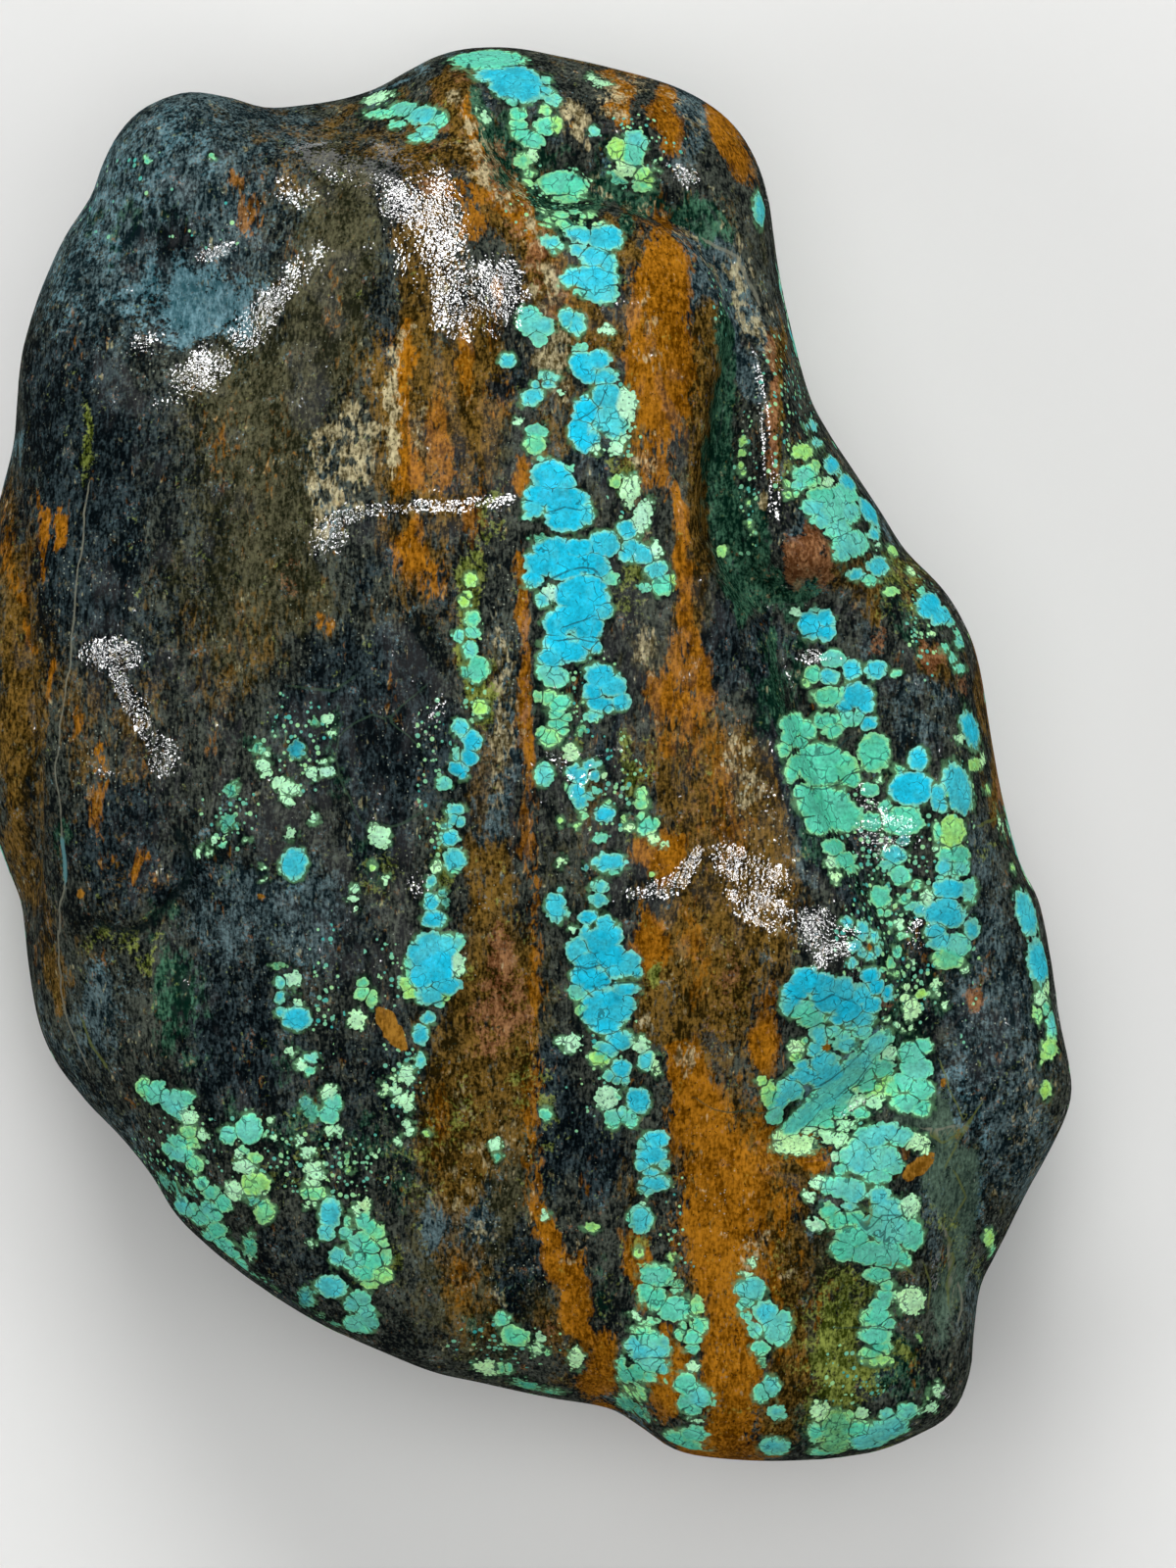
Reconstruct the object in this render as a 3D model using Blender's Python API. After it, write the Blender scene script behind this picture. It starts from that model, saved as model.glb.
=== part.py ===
"""A turquoise nugget: one water-rounded piece of dark host rock with turquoise grown through it.

One solid. It lies on its broad underside, +Z up, with the origin under the middle of its bounding box.

Its shape is set out in plan, as on a drawing 20 units to the millimetre: u runs to the right (+X) and v runs down
the sheet (-Y). The drawing is a sight from SIGHT_HEIGHT above the stone, so a feature drawn at (u, v) lies where the
sight line through (u, v) meets the surface. RIM gives the widest line of the stone and its height over the table.
Above it the stone is a dome cut by the broad worn FACETS_UP, below it a shallower one cut by FACETS_DOWN. Grooves,
steps and swells are then pushed in or out along the surface's normal, and the underside is ground flat at z = 0.
"""

import math

import bmesh
import bpy
import numpy as np
from mathutils import Vector

# ---- driving dimensions ------------------------------------------------------------------------------------------
UNITS_PER_MM = 20.0  # plan drawing scale
PLAN_ORIGIN = (532.0, 768.0)  # the row origin on the plan drawing
SIGHT_STATION = (600.0, 800.0)  # the sight's foot on the plan drawing
SIGHT_HEIGHT = 450.0  # mm above SIGHT_LEVEL
SIGHT_LEVEL = 13.0  # mm above the table, where the drawing's scale is true
DOME_TOP = 34.5  # mm above the table, before the facets
DOME_BOTTOM = -3.2  # mm, before the flat is ground
RIM_LEVEL = 12.5  # mm above the table, the rim's mean height
OUTLINE_EASE = 0.42  # radians over which the outline is evened towards the middle of the stone
SEGMENTS = 76  # divisions along each side of the starting cube
TRIANGLES = 9000  # kept after the even grid is thinned to follow the form
MAP_STEP = 4.0  # plan units between the relief map's grid points
MAP_EASE = 7.0  # plan units over which the map's edges are eased
REST_Z = 0.0  # the ground flat that the stone lies on

# The widest line: u, v on the plan and height in mm above the table, clockwise from the top end.
RIM = [
    (480, 49, 12.0), (520, 48, 12.5), (560, 54, 13.0), (620, 67, 13.5), (680, 85, 14.0), (720, 104, 14.0),
    (750, 128, 14.0), (771, 160, 14.0), (785, 200, 14.0), (791, 240, 13.5), (797, 280, 13.0), (805, 320, 13.0),
    (825, 400, 12.5), (845, 440, 12.5), (871, 480, 12.5), (898, 520, 12.5), (924, 560, 13.0), (961, 600, 13.0),
    (985, 640, 13.5), (998, 680, 14.0), (1010, 750, 14.0), (1022, 815, 14.0), (1039, 880, 14.0), (1058, 920, 13.5),
    (1071, 980, 13.0), (1080, 1040, 13.0), (1089, 1085, 13.0), (1091, 1120, 13.0), (1077, 1160, 13.0),
    (1045, 1220, 12.8), (1016, 1280, 12.2), (1000, 1315, 12.0), (993, 1360, 12.0), (989, 1400, 12.0),
    (971, 1440, 12.0), (930, 1466, 12.0), (885, 1482, 12.0), (820, 1489, 12.5), (745, 1489, 13.0), (692, 1480, 13.0),
    (655, 1457, 13.0), (620, 1436, 13.0), (560, 1424, 13.0), (500, 1411, 13.5), (440, 1397, 14.0), (380, 1374, 14.0),
    (320, 1346, 14.0), (270, 1315, 14.0), (225, 1281, 14.0), (183, 1240, 13.5), (158, 1200, 13.0), (126, 1160, 12.5),
    (89, 1120, 12.0), (59, 1081, 11.0), (42, 1040, 10.5), (31, 980, 10.5), (23, 925, 10.0), (8, 885, 9.5),
    (-12, 830, 9.2), (-25, 760, 9.0), (-28, 690, 9.0), (-24, 620, 9.2), (-12, 550, 9.6), (2, 495, 10.4),
    (14, 450, 11.4), (18, 410, 12.0), (24, 365, 13.0), (35, 320, 13.5), (49, 280, 14.0), (67, 240, 14.5),
    (92, 200, 15.0), (104, 168, 15.0), (120, 138, 15.0), (148, 110, 15.0), (190, 94, 15.0), (232, 98, 14.5),
    (270, 108, 14.0), (310, 106, 13.5), (350, 100, 13.0), (385, 90, 12.5), (415, 74, 12.0), (447, 57, 12.0),
]

# Broad worn faces: a point (u, v) on the plan, the face's height there in mm above the table, and its slope in mm per
# mm to the right and up the sheet.
FACETS_UP = [
    (300, 600, 29.6, 0.29, 0.02),  # left cheek
    (430, 1000, 28.4, 0.22, 0.30),  # lower left
    (650, 1060, 28.8, -0.06, 0.31),  # lower middle
    (850, 860, 27.0, -0.52, 0.05),  # right flank
    (700, 400, 28.6, -0.40, -0.12),  # upper right flank
    (560, 300, 29.6, -0.02, -0.40),  # top end
    (265, 330, 27.6, 0.36, -0.30),  # upper left shoulder
    (880, 1250, 23.0, -0.42, 0.34),  # foot
]
FACETS_DOWN = [
    (300, 1000, 2.0, -0.26, -0.22),
    (800, 1080, 2.0, 0.40, -0.16),
    (760, 480, 2.4, 0.42, 0.26),
    (330, 420, 1.4, -0.28, 0.26),
    (560, 1260, 1.8, 0.04, -0.44),
    (520, 260, 2.2, -0.04, 0.48),
]
FACET_SOFTNESS = 0.55  # per mm: how sharply two faces meet

# Swells (+) and hollows (-) of the upper side: u, v, half-width, half-height, turn in degrees, mm.
SWELLS = [
    (425, 235, 125, 105, 20, 1.5),  # brow
    (205, 325, 95, 55, 35, -1.6),  # dish under the shoulder
    (178, 160, 75, 65, 0, 1.0),  # shoulder
    (500, 92, 70, 34, 10, 0.9),  # crest behind the brow
    (655, 125, 60, 45, 10, 0.8),
    (290, 570, 130, 210, 0, 0.5),
    (610, 470, 55, 200, 4, 0.6),
    (665, 330, 48, 100, 0, 0.8),
    (832, 570, 38, 26, 25, 1.3),  # rust knob
    (788, 430, 18, 80, -6, 0.8),  # the groove's outer bank
    (858, 520, 40, 60, -35, 0.6),
    (835, 985, 62, 50, 0, 1.3),  # lump over the notch
    (965, 820, 40, 170, -6, 1.2),  # right ridge
    (885, 1240, 80, 75, 0, 1.0),
    (1052, 1105, 60, 46, 0, 0.8),  # elbow
    (810, 1420, 130, 60, 0, 0.7),  # foot
    (700, 1330, 60, 90, 0, -0.5),
    (560, 1160, 50, 160, 0, -0.5),
    (390, 830, 70, 150, 0, -0.6),
    (140, 700, 60, 120, 0, 0.5),
    (130, 1030, 60, 50, -40, -0.5),
    (250, 1180, 90, 70, -35, 0.6),
    (1000, 1250, 30, 60, 20, -0.8),
    (980, 990, 40, 60, 0, -0.7),
]

# Open grooves: stations (u, v, half-width, depth in mm) along the floor.
GROOVES = [
    [(245, 108, 24, 0.5), (300, 120, 26, 1.2), (365, 126, 26, 1.3), (430, 128, 26, 0.9), (470, 138, 20, 0.2)],
    [(750, 560, 20, 0.3), (785, 601, 20, 1.2), (830, 606, 18, 1.4), (862, 604, 16, 0.5)],
    [(612, 1010, 26, 0.2), (640, 1120, 26, 0.5), (655, 1230, 26, 0.5), (660, 1330, 22, 0.3)],
    [(552, 560, 20, 0.2), (548, 760, 22, 0.5), (552, 960, 22, 0.5), (545, 1120, 20, 0.3)],
    [(1012, 1296, 18, 0.8), (985, 1318, 22, 0.7), (955, 1345, 22, 0.2)],
    [(640, 1452, 30, 0.5), (632, 1410, 30, 0.4), (620, 1370, 26, 0.1)],
    [(215, 640, 40, 0.1), (180, 780, 40, 0.4), (165, 900, 36, 0.5), (190, 1000, 36, 0.3)],
]

# Lips: stations (u, v, drop in mm, run of the drop, reach of the hollow behind it) along an edge. The surface drops on
# the right-hand side going along, and climbs back gently over the reach.
LIPS = [
    [(720, 720, 0.0, 16, 60), (772, 622, 0.9, 16, 56), (745, 592, 2.2, 15, 50), (722, 548, 3.2, 15, 50),
     (718, 500, 3.6, 14, 52), (727, 440, 3.6, 13, 46), (736, 380, 3.2, 13, 42), (748, 325, 2.2, 14, 34),
     (735, 275, 2.2, 15, 38), (697, 232, 2.7, 15, 46), (650, 208, 2.9, 14, 52), (605, 200, 2.8, 15, 56),
     (562, 206, 2.8, 16, 60), (522, 186, 2.7, 15, 56), (499, 148, 2.1, 15, 46), (486, 108, 0.8, 16, 36)],
    [(905, 960, 0.6, 18, 44), (880, 905, 1.6, 18, 52), (848, 845, 2.3, 17, 60), (818, 770, 2.6, 15, 64),
     (800, 700, 2.5, 15, 62), (788, 645, 2.0, 16, 50), (768, 612, 1.0, 16, 40), (745, 590, 0.2, 16, 30)],
    [(948, 1085, 0.4, 18, 44), (905, 1130, 2.0, 15, 52), (858, 1163, 2.5, 14, 54), (812, 1176, 1.9, 14, 46),
     (780, 1180, 0.4, 16, 36)],  # under the lump
    [(55, 950, 0.2, 8, 40), (88, 948, 0.5, 8, 60), (125, 957, 0.7, 7, 70), (152, 945, 0.8, 7, 70), (176, 918, 0.7, 7, 70),
     (196, 898, 0.6, 8, 60), (214, 872, 0.3, 9, 50), (232, 840, 0.0, 10, 40)],  # a chipped edge low on the left
    [(22, 390, 0.3, 9, 20), (17, 450, 1.8, 8, 24), (19, 520, 3.2, 8, 30), (19, 600, 3.8, 8, 34), (21, 680, 4.0, 8, 36),
     (27, 740, 3.8, 8, 38), (32, 800, 3.2, 8, 38), (33, 860, 2.2, 8, 34), (30, 930, 1.2, 8, 28), (28, 1000, 0.2, 9, 24)],
]

# Dents (-) and knobs (+) of the flanks and the underside: x, y, z of the middle in mm, reach in mm, mm.
DENTS = [
    (-27, 6, 9, 6.0, -0.9), (-20, -19, 6, 6.0, -1.0), (-12, 30, 9, 6.5, -1.2), (3, 37, 8, 5.0, -0.8),
    (12, 24, 7, 6.0, -1.0), (22, 10, 7, 6.5, -1.2), (27, -8, 7, 5.0, 0.7), (26, -22, 6, 5.0, -0.9),
    (10, -36, 7, 5.5, -1.0), (-8, -31, 7, 6.0, -0.9), (-24, 18, 7, 5.0, 0.8), (18, -32, 5, 5.0, 0.7),
    (-15, -10, 1, 5.5, -0.9), (14, -14, 1, 5.5, -0.8), (10, 20, 1, 4.5, -0.6), (-14, 16, 1, 5.0, 0.6),
    (-3, 31, 3, 5.0, 0.8), (-18, -27, 10, 4.5, 0.7),
]
WAVES = [(11.0, 0.42), (5.5, 0.20), (2.7, 0.09)]  # wavelength and height in mm of the worn unevenness


# ---- noise -------------------------------------------------------------------------------------------------------
def hashed(ix, iy, iz, seed):
    """A fixed pseudo-random number in 0..1 for each whole-number lattice corner."""
    h = (ix * 374761393 + iy * 668265263 + iz * 2147483647 + seed * 1274126177) & 0xFFFFFFFF
    h = ((h ^ (h >> 13)) * 1274126177) & 0xFFFFFFFF
    h = ((h ^ (h >> 16)) * 2246822519) & 0xFFFFFFFF
    return ((h ^ (h >> 15)) & 0xFFFFFF) / float(0xFFFFFF)


def value_noise(p, seed=0):
    """Smooth lattice noise in -1..1 at points p (n, 3)."""
    base = np.floor(p).astype(np.int64)
    f = p - base
    f = f * f * f * (f * (f * 6 - 15) + 10)
    total = np.zeros(len(p))
    for dx in (0, 1):
        for dy in (0, 1):
            for dz in (0, 1):
                w = (
                    (f[:, 0] if dx else 1 - f[:, 0])
                    * (f[:, 1] if dy else 1 - f[:, 1])
                    * (f[:, 2] if dz else 1 - f[:, 2])
                )
                total += w * hashed(base[:, 0] + dx, base[:, 1] + dy, base[:, 2] + dz, seed)
    return total * 2 - 1


# ---- plan geometry -----------------------------------------------------------------------------------------------
def seen_at(p):
    """Plan station (u, v) of points p (n, 3) in mm: where the sight line through each meets the drawing."""
    grow = SIGHT_HEIGHT / (SIGHT_HEIGHT - (p[:, 2] - SIGHT_LEVEL))
    foot_x = (SIGHT_STATION[0] - PLAN_ORIGIN[0]) / UNITS_PER_MM
    foot_y = (PLAN_ORIGIN[1] - SIGHT_STATION[1]) / UNITS_PER_MM
    u = SIGHT_STATION[0] + (p[:, 0] - foot_x) * UNITS_PER_MM * grow
    v = SIGHT_STATION[1] - (p[:, 1] - foot_y) * UNITS_PER_MM * grow
    return u, v


def on_level(u, v, z):
    """The point (x, y) in mm at height z that the sight sees at plan station (u, v)."""
    shrink = (SIGHT_HEIGHT - (z - SIGHT_LEVEL)) / SIGHT_HEIGHT
    foot_x = (SIGHT_STATION[0] - PLAN_ORIGIN[0]) / UNITS_PER_MM
    foot_y = (PLAN_ORIGIN[1] - SIGHT_STATION[1]) / UNITS_PER_MM
    return (
        foot_x + (u - SIGHT_STATION[0]) / UNITS_PER_MM * shrink,
        foot_y + (SIGHT_STATION[1] - v) / UNITS_PER_MM * shrink,
    )


def rim_tables():
    """The rim against angle, in even steps: its radius, its radius evened out, and its height."""
    stations = np.array([[*on_level(u, v, z), z] for u, v, z in RIM])
    n = len(stations)
    t = np.linspace(0, 1, 24, endpoint=False)[:, None]
    line = []
    for i in range(n):
        a, b, c, d = (stations[(i + k - 1) % n] for k in range(4))
        line.append(
            0.5 * (2 * b + (c - a) * t + (2 * a - 5 * b + 4 * c - d) * t**2 + (3 * b - a - 3 * c + d) * t**3)
        )
    line = np.concatenate(line)
    angle = np.arctan2(line[:, 1], line[:, 0])
    order = np.argsort(angle)
    angle, line = angle[order], line[order]
    angle = np.concatenate([angle - 2 * math.pi, angle, angle + 2 * math.pi])
    line = np.concatenate([line, line, line])
    even = np.linspace(-math.pi, math.pi, 1440, endpoint=False)
    radius = np.interp(even, angle, np.hypot(line[:, 0], line[:, 1]))
    height = np.interp(even, angle, line[:, 2])
    spread = np.exp(-0.5 * ((even - even[0] + math.pi) % (2 * math.pi) - math.pi) ** 2 / OUTLINE_EASE**2)
    eased = np.real(np.fft.ifft(np.fft.fft(radius) * np.fft.fft(spread / spread.sum())))
    return even, radius, eased, height


def soft_least(values, softness):
    """The least of several surfaces, rounded where they meet."""
    values = np.stack(values)
    low = values.min(axis=0)
    return low - np.log(np.exp(-(values - low) * softness).sum(axis=0)) / softness


def along(u, v, stations):
    """Nearest point on a line of stations: distance, side (+ on the left going along), and their other values there."""
    best = np.full(len(u), 1e9)
    side = np.zeros(len(u))
    extra = np.zeros((len(stations[0]) - 2, len(u)))
    for a, b in zip(stations, stations[1:]):
        du, dv = b[0] - a[0], b[1] - a[1]
        t = np.clip(((u - a[0]) * du + (v - a[1]) * dv) / (du * du + dv * dv), 0, 1)
        gu, gv = u - a[0] - t * du, v - a[1] - t * dv
        d = np.hypot(gu, gv)
        nearer = d < best
        best = np.where(nearer, d, best)
        side = np.where(nearer, np.sign(du * gv - dv * gu) * -1.0, side)
        for k in range(len(extra)):
            extra[k] = np.where(nearer, a[2 + k] + t * (b[2 + k] - a[2 + k]), extra[k])
    return best, side, extra


def base_surface(d):
    """The stone before its relief: the point in mm for each unit direction d (n, 3)."""
    angles, radii, eased, heights = rim_tables()
    theta = np.arctan2(d[:, 1], d[:, 0])
    out = np.sqrt(np.clip(1 - d[:, 2] ** 2, 0, 1))
    above = d[:, 2] >= 0
    # Towards the middle the outline's bays and the rim's rise and fall are forgotten, so that nothing runs in as spokes.
    keep = np.clip((out - 0.5) / 0.5, 0, 1) ** np.where(above, 1.6, 2.4)
    radius = np.interp(theta, angles, eased, period=2 * math.pi)
    radius += keep * (np.interp(theta, angles, radii, period=2 * math.pi) - radius)
    level = RIM_LEVEL + keep * (np.interp(theta, angles, heights, period=2 * math.pi) - RIM_LEVEL)
    x, y = out * radius * np.cos(theta), out * radius * np.sin(theta)
    height = np.abs(d[:, 2])
    dome = level + (DOME_TOP - level) * height**0.94
    belly = level - (level - DOME_BOTTOM) * height**0.90

    def faces(listed):
        found = []
        for u, v, z, right, up in listed:
            fx, fy = on_level(u, v, z)
            found.append(z + right * (x - fx) + up * (y - fy))
        return found

    # The faces are left out at the very rim, where the stone turns over.
    inside = np.clip((1 - out) / 0.06, 0, 1)
    inside = inside * inside * (3 - 2 * inside)
    top = dome + inside * (soft_least([dome] + faces(FACETS_UP), FACET_SOFTNESS) - dome)
    low = belly + inside * (-soft_least([-belly] + [-f for f in faces(FACETS_DOWN)], FACET_SOFTNESS) - belly)
    return np.stack([x, y, np.where(above, top, low)], axis=1)


def relief_map():
    """The upper side's swells, grooves and lips in mm on a grid over the plan, with every edge eased."""
    us = np.arange(-80, 1180, MAP_STEP, dtype=float)
    vs = np.arange(-20, 1560, MAP_STEP, dtype=float)
    u, v = (g.ravel() for g in np.meshgrid(us, vs))
    push = np.zeros(len(u))
    for cu, cv, ru, rv, turn, amount in SWELLS:
        c, s = math.cos(math.radians(turn)), math.sin(math.radians(turn))
        a, b = ((u - cu) * c + (v - cv) * s) / ru, (-(u - cu) * s + (v - cv) * c) / rv
        push += amount * np.exp(-(a * a + b * b))
    for stations in GROOVES:
        d, _, (width, depth) = along(u, v, stations)
        push -= depth * np.exp(-((d / width) ** 2))
    for stations in LIPS:
        d, side, (drop, run, reach) = along(u, v, stations)
        s = -d * side
        fall = 0.5 + 0.5 * np.sin(np.clip(s / run, -1, 1) * math.pi / 2)
        push -= drop * fall * np.exp(-((np.maximum(s, 0) / reach) ** 2))
    push = push.reshape(len(vs), len(us))
    half = int(3 * MAP_EASE / MAP_STEP)
    kernel = np.exp(-0.5 * (np.arange(-half, half + 1) * MAP_STEP / MAP_EASE) ** 2)
    kernel /= kernel.sum()
    for _ in (0, 1):
        padded = np.pad(push, ((half, half), (0, 0)), mode="edge")
        push = sum(k * padded[i : i + push.shape[0]] for i, k in enumerate(kernel)).T
    return us, vs, push


def read_map(table, u, v):
    """The map's value at plan stations, between its grid points."""
    us, vs, values = table
    a = np.clip((u - us[0]) / MAP_STEP, 0, len(us) - 1.001)
    b = np.clip((v - vs[0]) / MAP_STEP, 0, len(vs) - 1.001)
    i, j = a.astype(int), b.astype(int)
    a, b = a - i, b - j
    return (
        values[j, i] * (1 - a) * (1 - b)
        + values[j, i + 1] * a * (1 - b)
        + values[j + 1, i] * (1 - a) * b
        + values[j + 1, i + 1] * a * b
    )


def relief(p, normal, waves):
    """The move in mm that the relief gives each point of the smooth stone."""
    u, v = seen_at(p)
    up = np.clip((normal[:, 2] + 0.05) / 0.45, 0, 1)
    up = up * up * (3 - 2 * up)
    # The rim keeps its drawn line: unevenness fades out where the surface stands upright.
    calm = np.clip(np.abs(normal[:, 2]) / 0.45, 0, 1)
    calm = 0.2 + 0.8 * calm * calm * (3 - 2 * calm)
    # Drawn relief goes mostly straight up and down, so that steep banks never fold; the rest goes along the normal.
    rise = normal * 0.35 + np.array([0, 0, 0.65])
    rise /= np.linalg.norm(rise, axis=1, keepdims=True)
    move = rise * (up * read_map(relief_map(), u, v))[:, None]
    push = np.zeros(len(p))
    for x, y, z, r, amount in DENTS:
        far = ((p - np.array([x, y, z])) ** 2).sum(axis=1) / (r * r)
        push += amount * np.exp(-far) * (1 - 0.6 * up) * calm
    for k, (length, height) in enumerate(waves):
        q = p / length * np.array([1.25, 0.7, 1.0])
        push += height * value_noise(q, seed=11 + k) * calm
    return move + normal * push[:, None]


def normals_of(points, quads):
    """Vertex normals of a mesh of four-sided faces."""
    a, b = points[quads[:, 2]] - points[quads[:, 0]], points[quads[:, 3]] - points[quads[:, 1]]
    face = np.cross(a, b)
    n = np.zeros_like(points)
    for k in range(4):
        np.add.at(n, quads[:, k], face)
    return n / np.maximum(np.linalg.norm(n, axis=1, keepdims=True), 1e-12)


# ---- the solid ---------------------------------------------------------------------------------------------------
def even_mesh(segments):
    """The whole stone, closed, on an even grid: a cube divided, blown up to a ball and pushed out to the surface."""
    bm = bmesh.new()
    bmesh.ops.create_cube(bm, size=2.0)
    bmesh.ops.subdivide_edges(bm, edges=bm.edges[:], cuts=segments - 1, use_grid_fill=True)
    bm.verts.ensure_lookup_table()
    bm.verts.index_update()
    cube = np.tan(np.array([v.co for v in bm.verts]) * math.pi / 4)
    directions = cube / np.linalg.norm(cube, axis=1, keepdims=True)
    quads = np.array([[v.index for v in f.verts] for f in bm.faces])
    points = base_surface(directions)
    normal = normals_of(points, quads)
    points = points + relief(points, normal, WAVES)
    for v, p in zip(bm.verts, points):
        v.co = Vector(p) / 1000.0
    bmesh.ops.recalc_face_normals(bm, faces=bm.faces[:])
    mesh = bpy.data.meshes.new("even_stone")
    bm.to_mesh(mesh)
    bm.free()
    return mesh


def thinned(mesh, triangles):
    """The same form with fewer triangles, more of them where it bends."""
    obj = bpy.data.objects.new("thinned_stone", mesh)
    bpy.context.scene.collection.objects.link(obj)
    fewer = obj.modifiers.new("fewer", "DECIMATE")
    fewer.decimate_type = "COLLAPSE"
    fewer.ratio = triangles / (2.0 * len(mesh.polygons))
    fewer.use_collapse_triangulate = True
    depsgraph = bpy.context.evaluated_depsgraph_get()
    result = bpy.data.meshes.new_from_object(obj.evaluated_get(depsgraph))
    bpy.data.objects.remove(obj, do_unlink=True)
    return result


def grind_flat(mesh):
    """Everything under the table is cut off, and the cut is closed with the flat that the stone lies on."""
    bm = bmesh.new()
    bm.from_mesh(mesh)
    bmesh.ops.bisect_plane(
        bm, geom=bm.verts[:] + bm.edges[:] + bm.faces[:], plane_co=(0, 0, REST_Z), plane_no=(0, 0, -1),
        clear_outer=True, dist=1e-7,
    )
    # Short edges left by the cut are joined, so that no sliver of a face is made.
    bmesh.ops.dissolve_degenerate(bm, edges=bm.edges[:], dist=8e-5)
    for v in bm.verts:
        if abs(v.co.z - REST_Z) < 2e-5:
            v.co.z = REST_Z
    open_edges = [e for e in bm.edges if e.is_boundary]
    bmesh.ops.holes_fill(bm, edges=open_edges, sides=0)
    bmesh.ops.triangulate(bm, faces=bm.faces[:])
    bmesh.ops.recalc_face_normals(bm, faces=bm.faces[:])
    result = bpy.data.meshes.new("turquoise_nugget")
    bm.to_mesh(result)
    bm.free()
    return result


def stone_mesh():
    return grind_flat(thinned(even_mesh(SEGMENTS), TRIANGLES))


def stone_material():
    m = bpy.data.materials.new("polished_turquoise_in_matrix")
    m.use_nodes = True
    shader = m.node_tree.nodes["Principled BSDF"]
    shader.inputs["Base Color"].default_value = (0.075, 0.095, 0.075, 1.0)
    shader.inputs["Roughness"].default_value = 0.22
    shader.inputs["Metallic"].default_value = 0.0
    return m


def main():
    for obj in list(bpy.data.objects):
        bpy.data.objects.remove(obj, do_unlink=True)
    mesh = stone_mesh()
    mesh.shade_smooth()
    mesh.materials.append(stone_material())
    stone = bpy.data.objects.new("turquoise_nugget", mesh)
    bpy.context.scene.collection.objects.link(stone)


main()
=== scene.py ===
import math

import bmesh
import bpy
import numpy as np
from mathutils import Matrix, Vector
from mathutils.kdtree import KDTree


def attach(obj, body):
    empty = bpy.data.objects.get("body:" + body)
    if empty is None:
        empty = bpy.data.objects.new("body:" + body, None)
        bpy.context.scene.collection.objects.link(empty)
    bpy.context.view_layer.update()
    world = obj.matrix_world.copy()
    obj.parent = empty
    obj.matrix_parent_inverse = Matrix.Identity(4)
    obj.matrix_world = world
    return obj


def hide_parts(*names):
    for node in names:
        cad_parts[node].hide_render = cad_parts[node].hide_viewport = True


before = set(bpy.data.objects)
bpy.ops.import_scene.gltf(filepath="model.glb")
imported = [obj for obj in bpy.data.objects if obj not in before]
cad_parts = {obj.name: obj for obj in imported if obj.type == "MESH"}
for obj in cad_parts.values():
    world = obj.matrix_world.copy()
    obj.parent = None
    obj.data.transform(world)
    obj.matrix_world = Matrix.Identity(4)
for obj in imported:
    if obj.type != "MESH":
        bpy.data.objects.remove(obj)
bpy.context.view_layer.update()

# The stone is set out in plan, as on a drawing 20 units to the millimetre: u runs to the right (+X) and v runs down the
# sheet (-Y). The drawing is a sight from above the stone, so a feature drawn at (u, v) lies where the sight line
# through (u, v) meets the surface. Colour fields ride on the vertices; grain, cracks and gloss are made by the shader.

# ---- driving dimensions ------------------------------------------------------------------------------------------
UNITS_PER_MM = 20.0  # plan drawing scale
PLAN_ORIGIN = (532.0, 768.0)  # the row origin on the plan drawing
SIGHT_STATION = (600.0, 800.0)  # the sight's foot on the plan drawing
SIGHT_HEIGHT = 450.0  # mm above SIGHT_LEVEL
SIGHT_LEVEL = 13.0  # mm above the table, where the drawing's scale is true
DOME_TOP = 34.5  # mm above the table, before the facets
DOME_BOTTOM = -3.2  # mm, before the flat is ground
RIM_LEVEL = 12.5  # mm above the table, the rim's mean height
OUTLINE_EASE = 0.42  # radians over which the outline is evened towards the middle of the stone
SEGMENTS = 127  # divisions along each side of the starting cube
MAP_STEP = 2.5  # plan units between the relief map's grid points
MAP_EASE = 5.0  # plan units over which the map's edges are eased
REST_Z = 0.0  # the ground flat that the stone lies on

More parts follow.
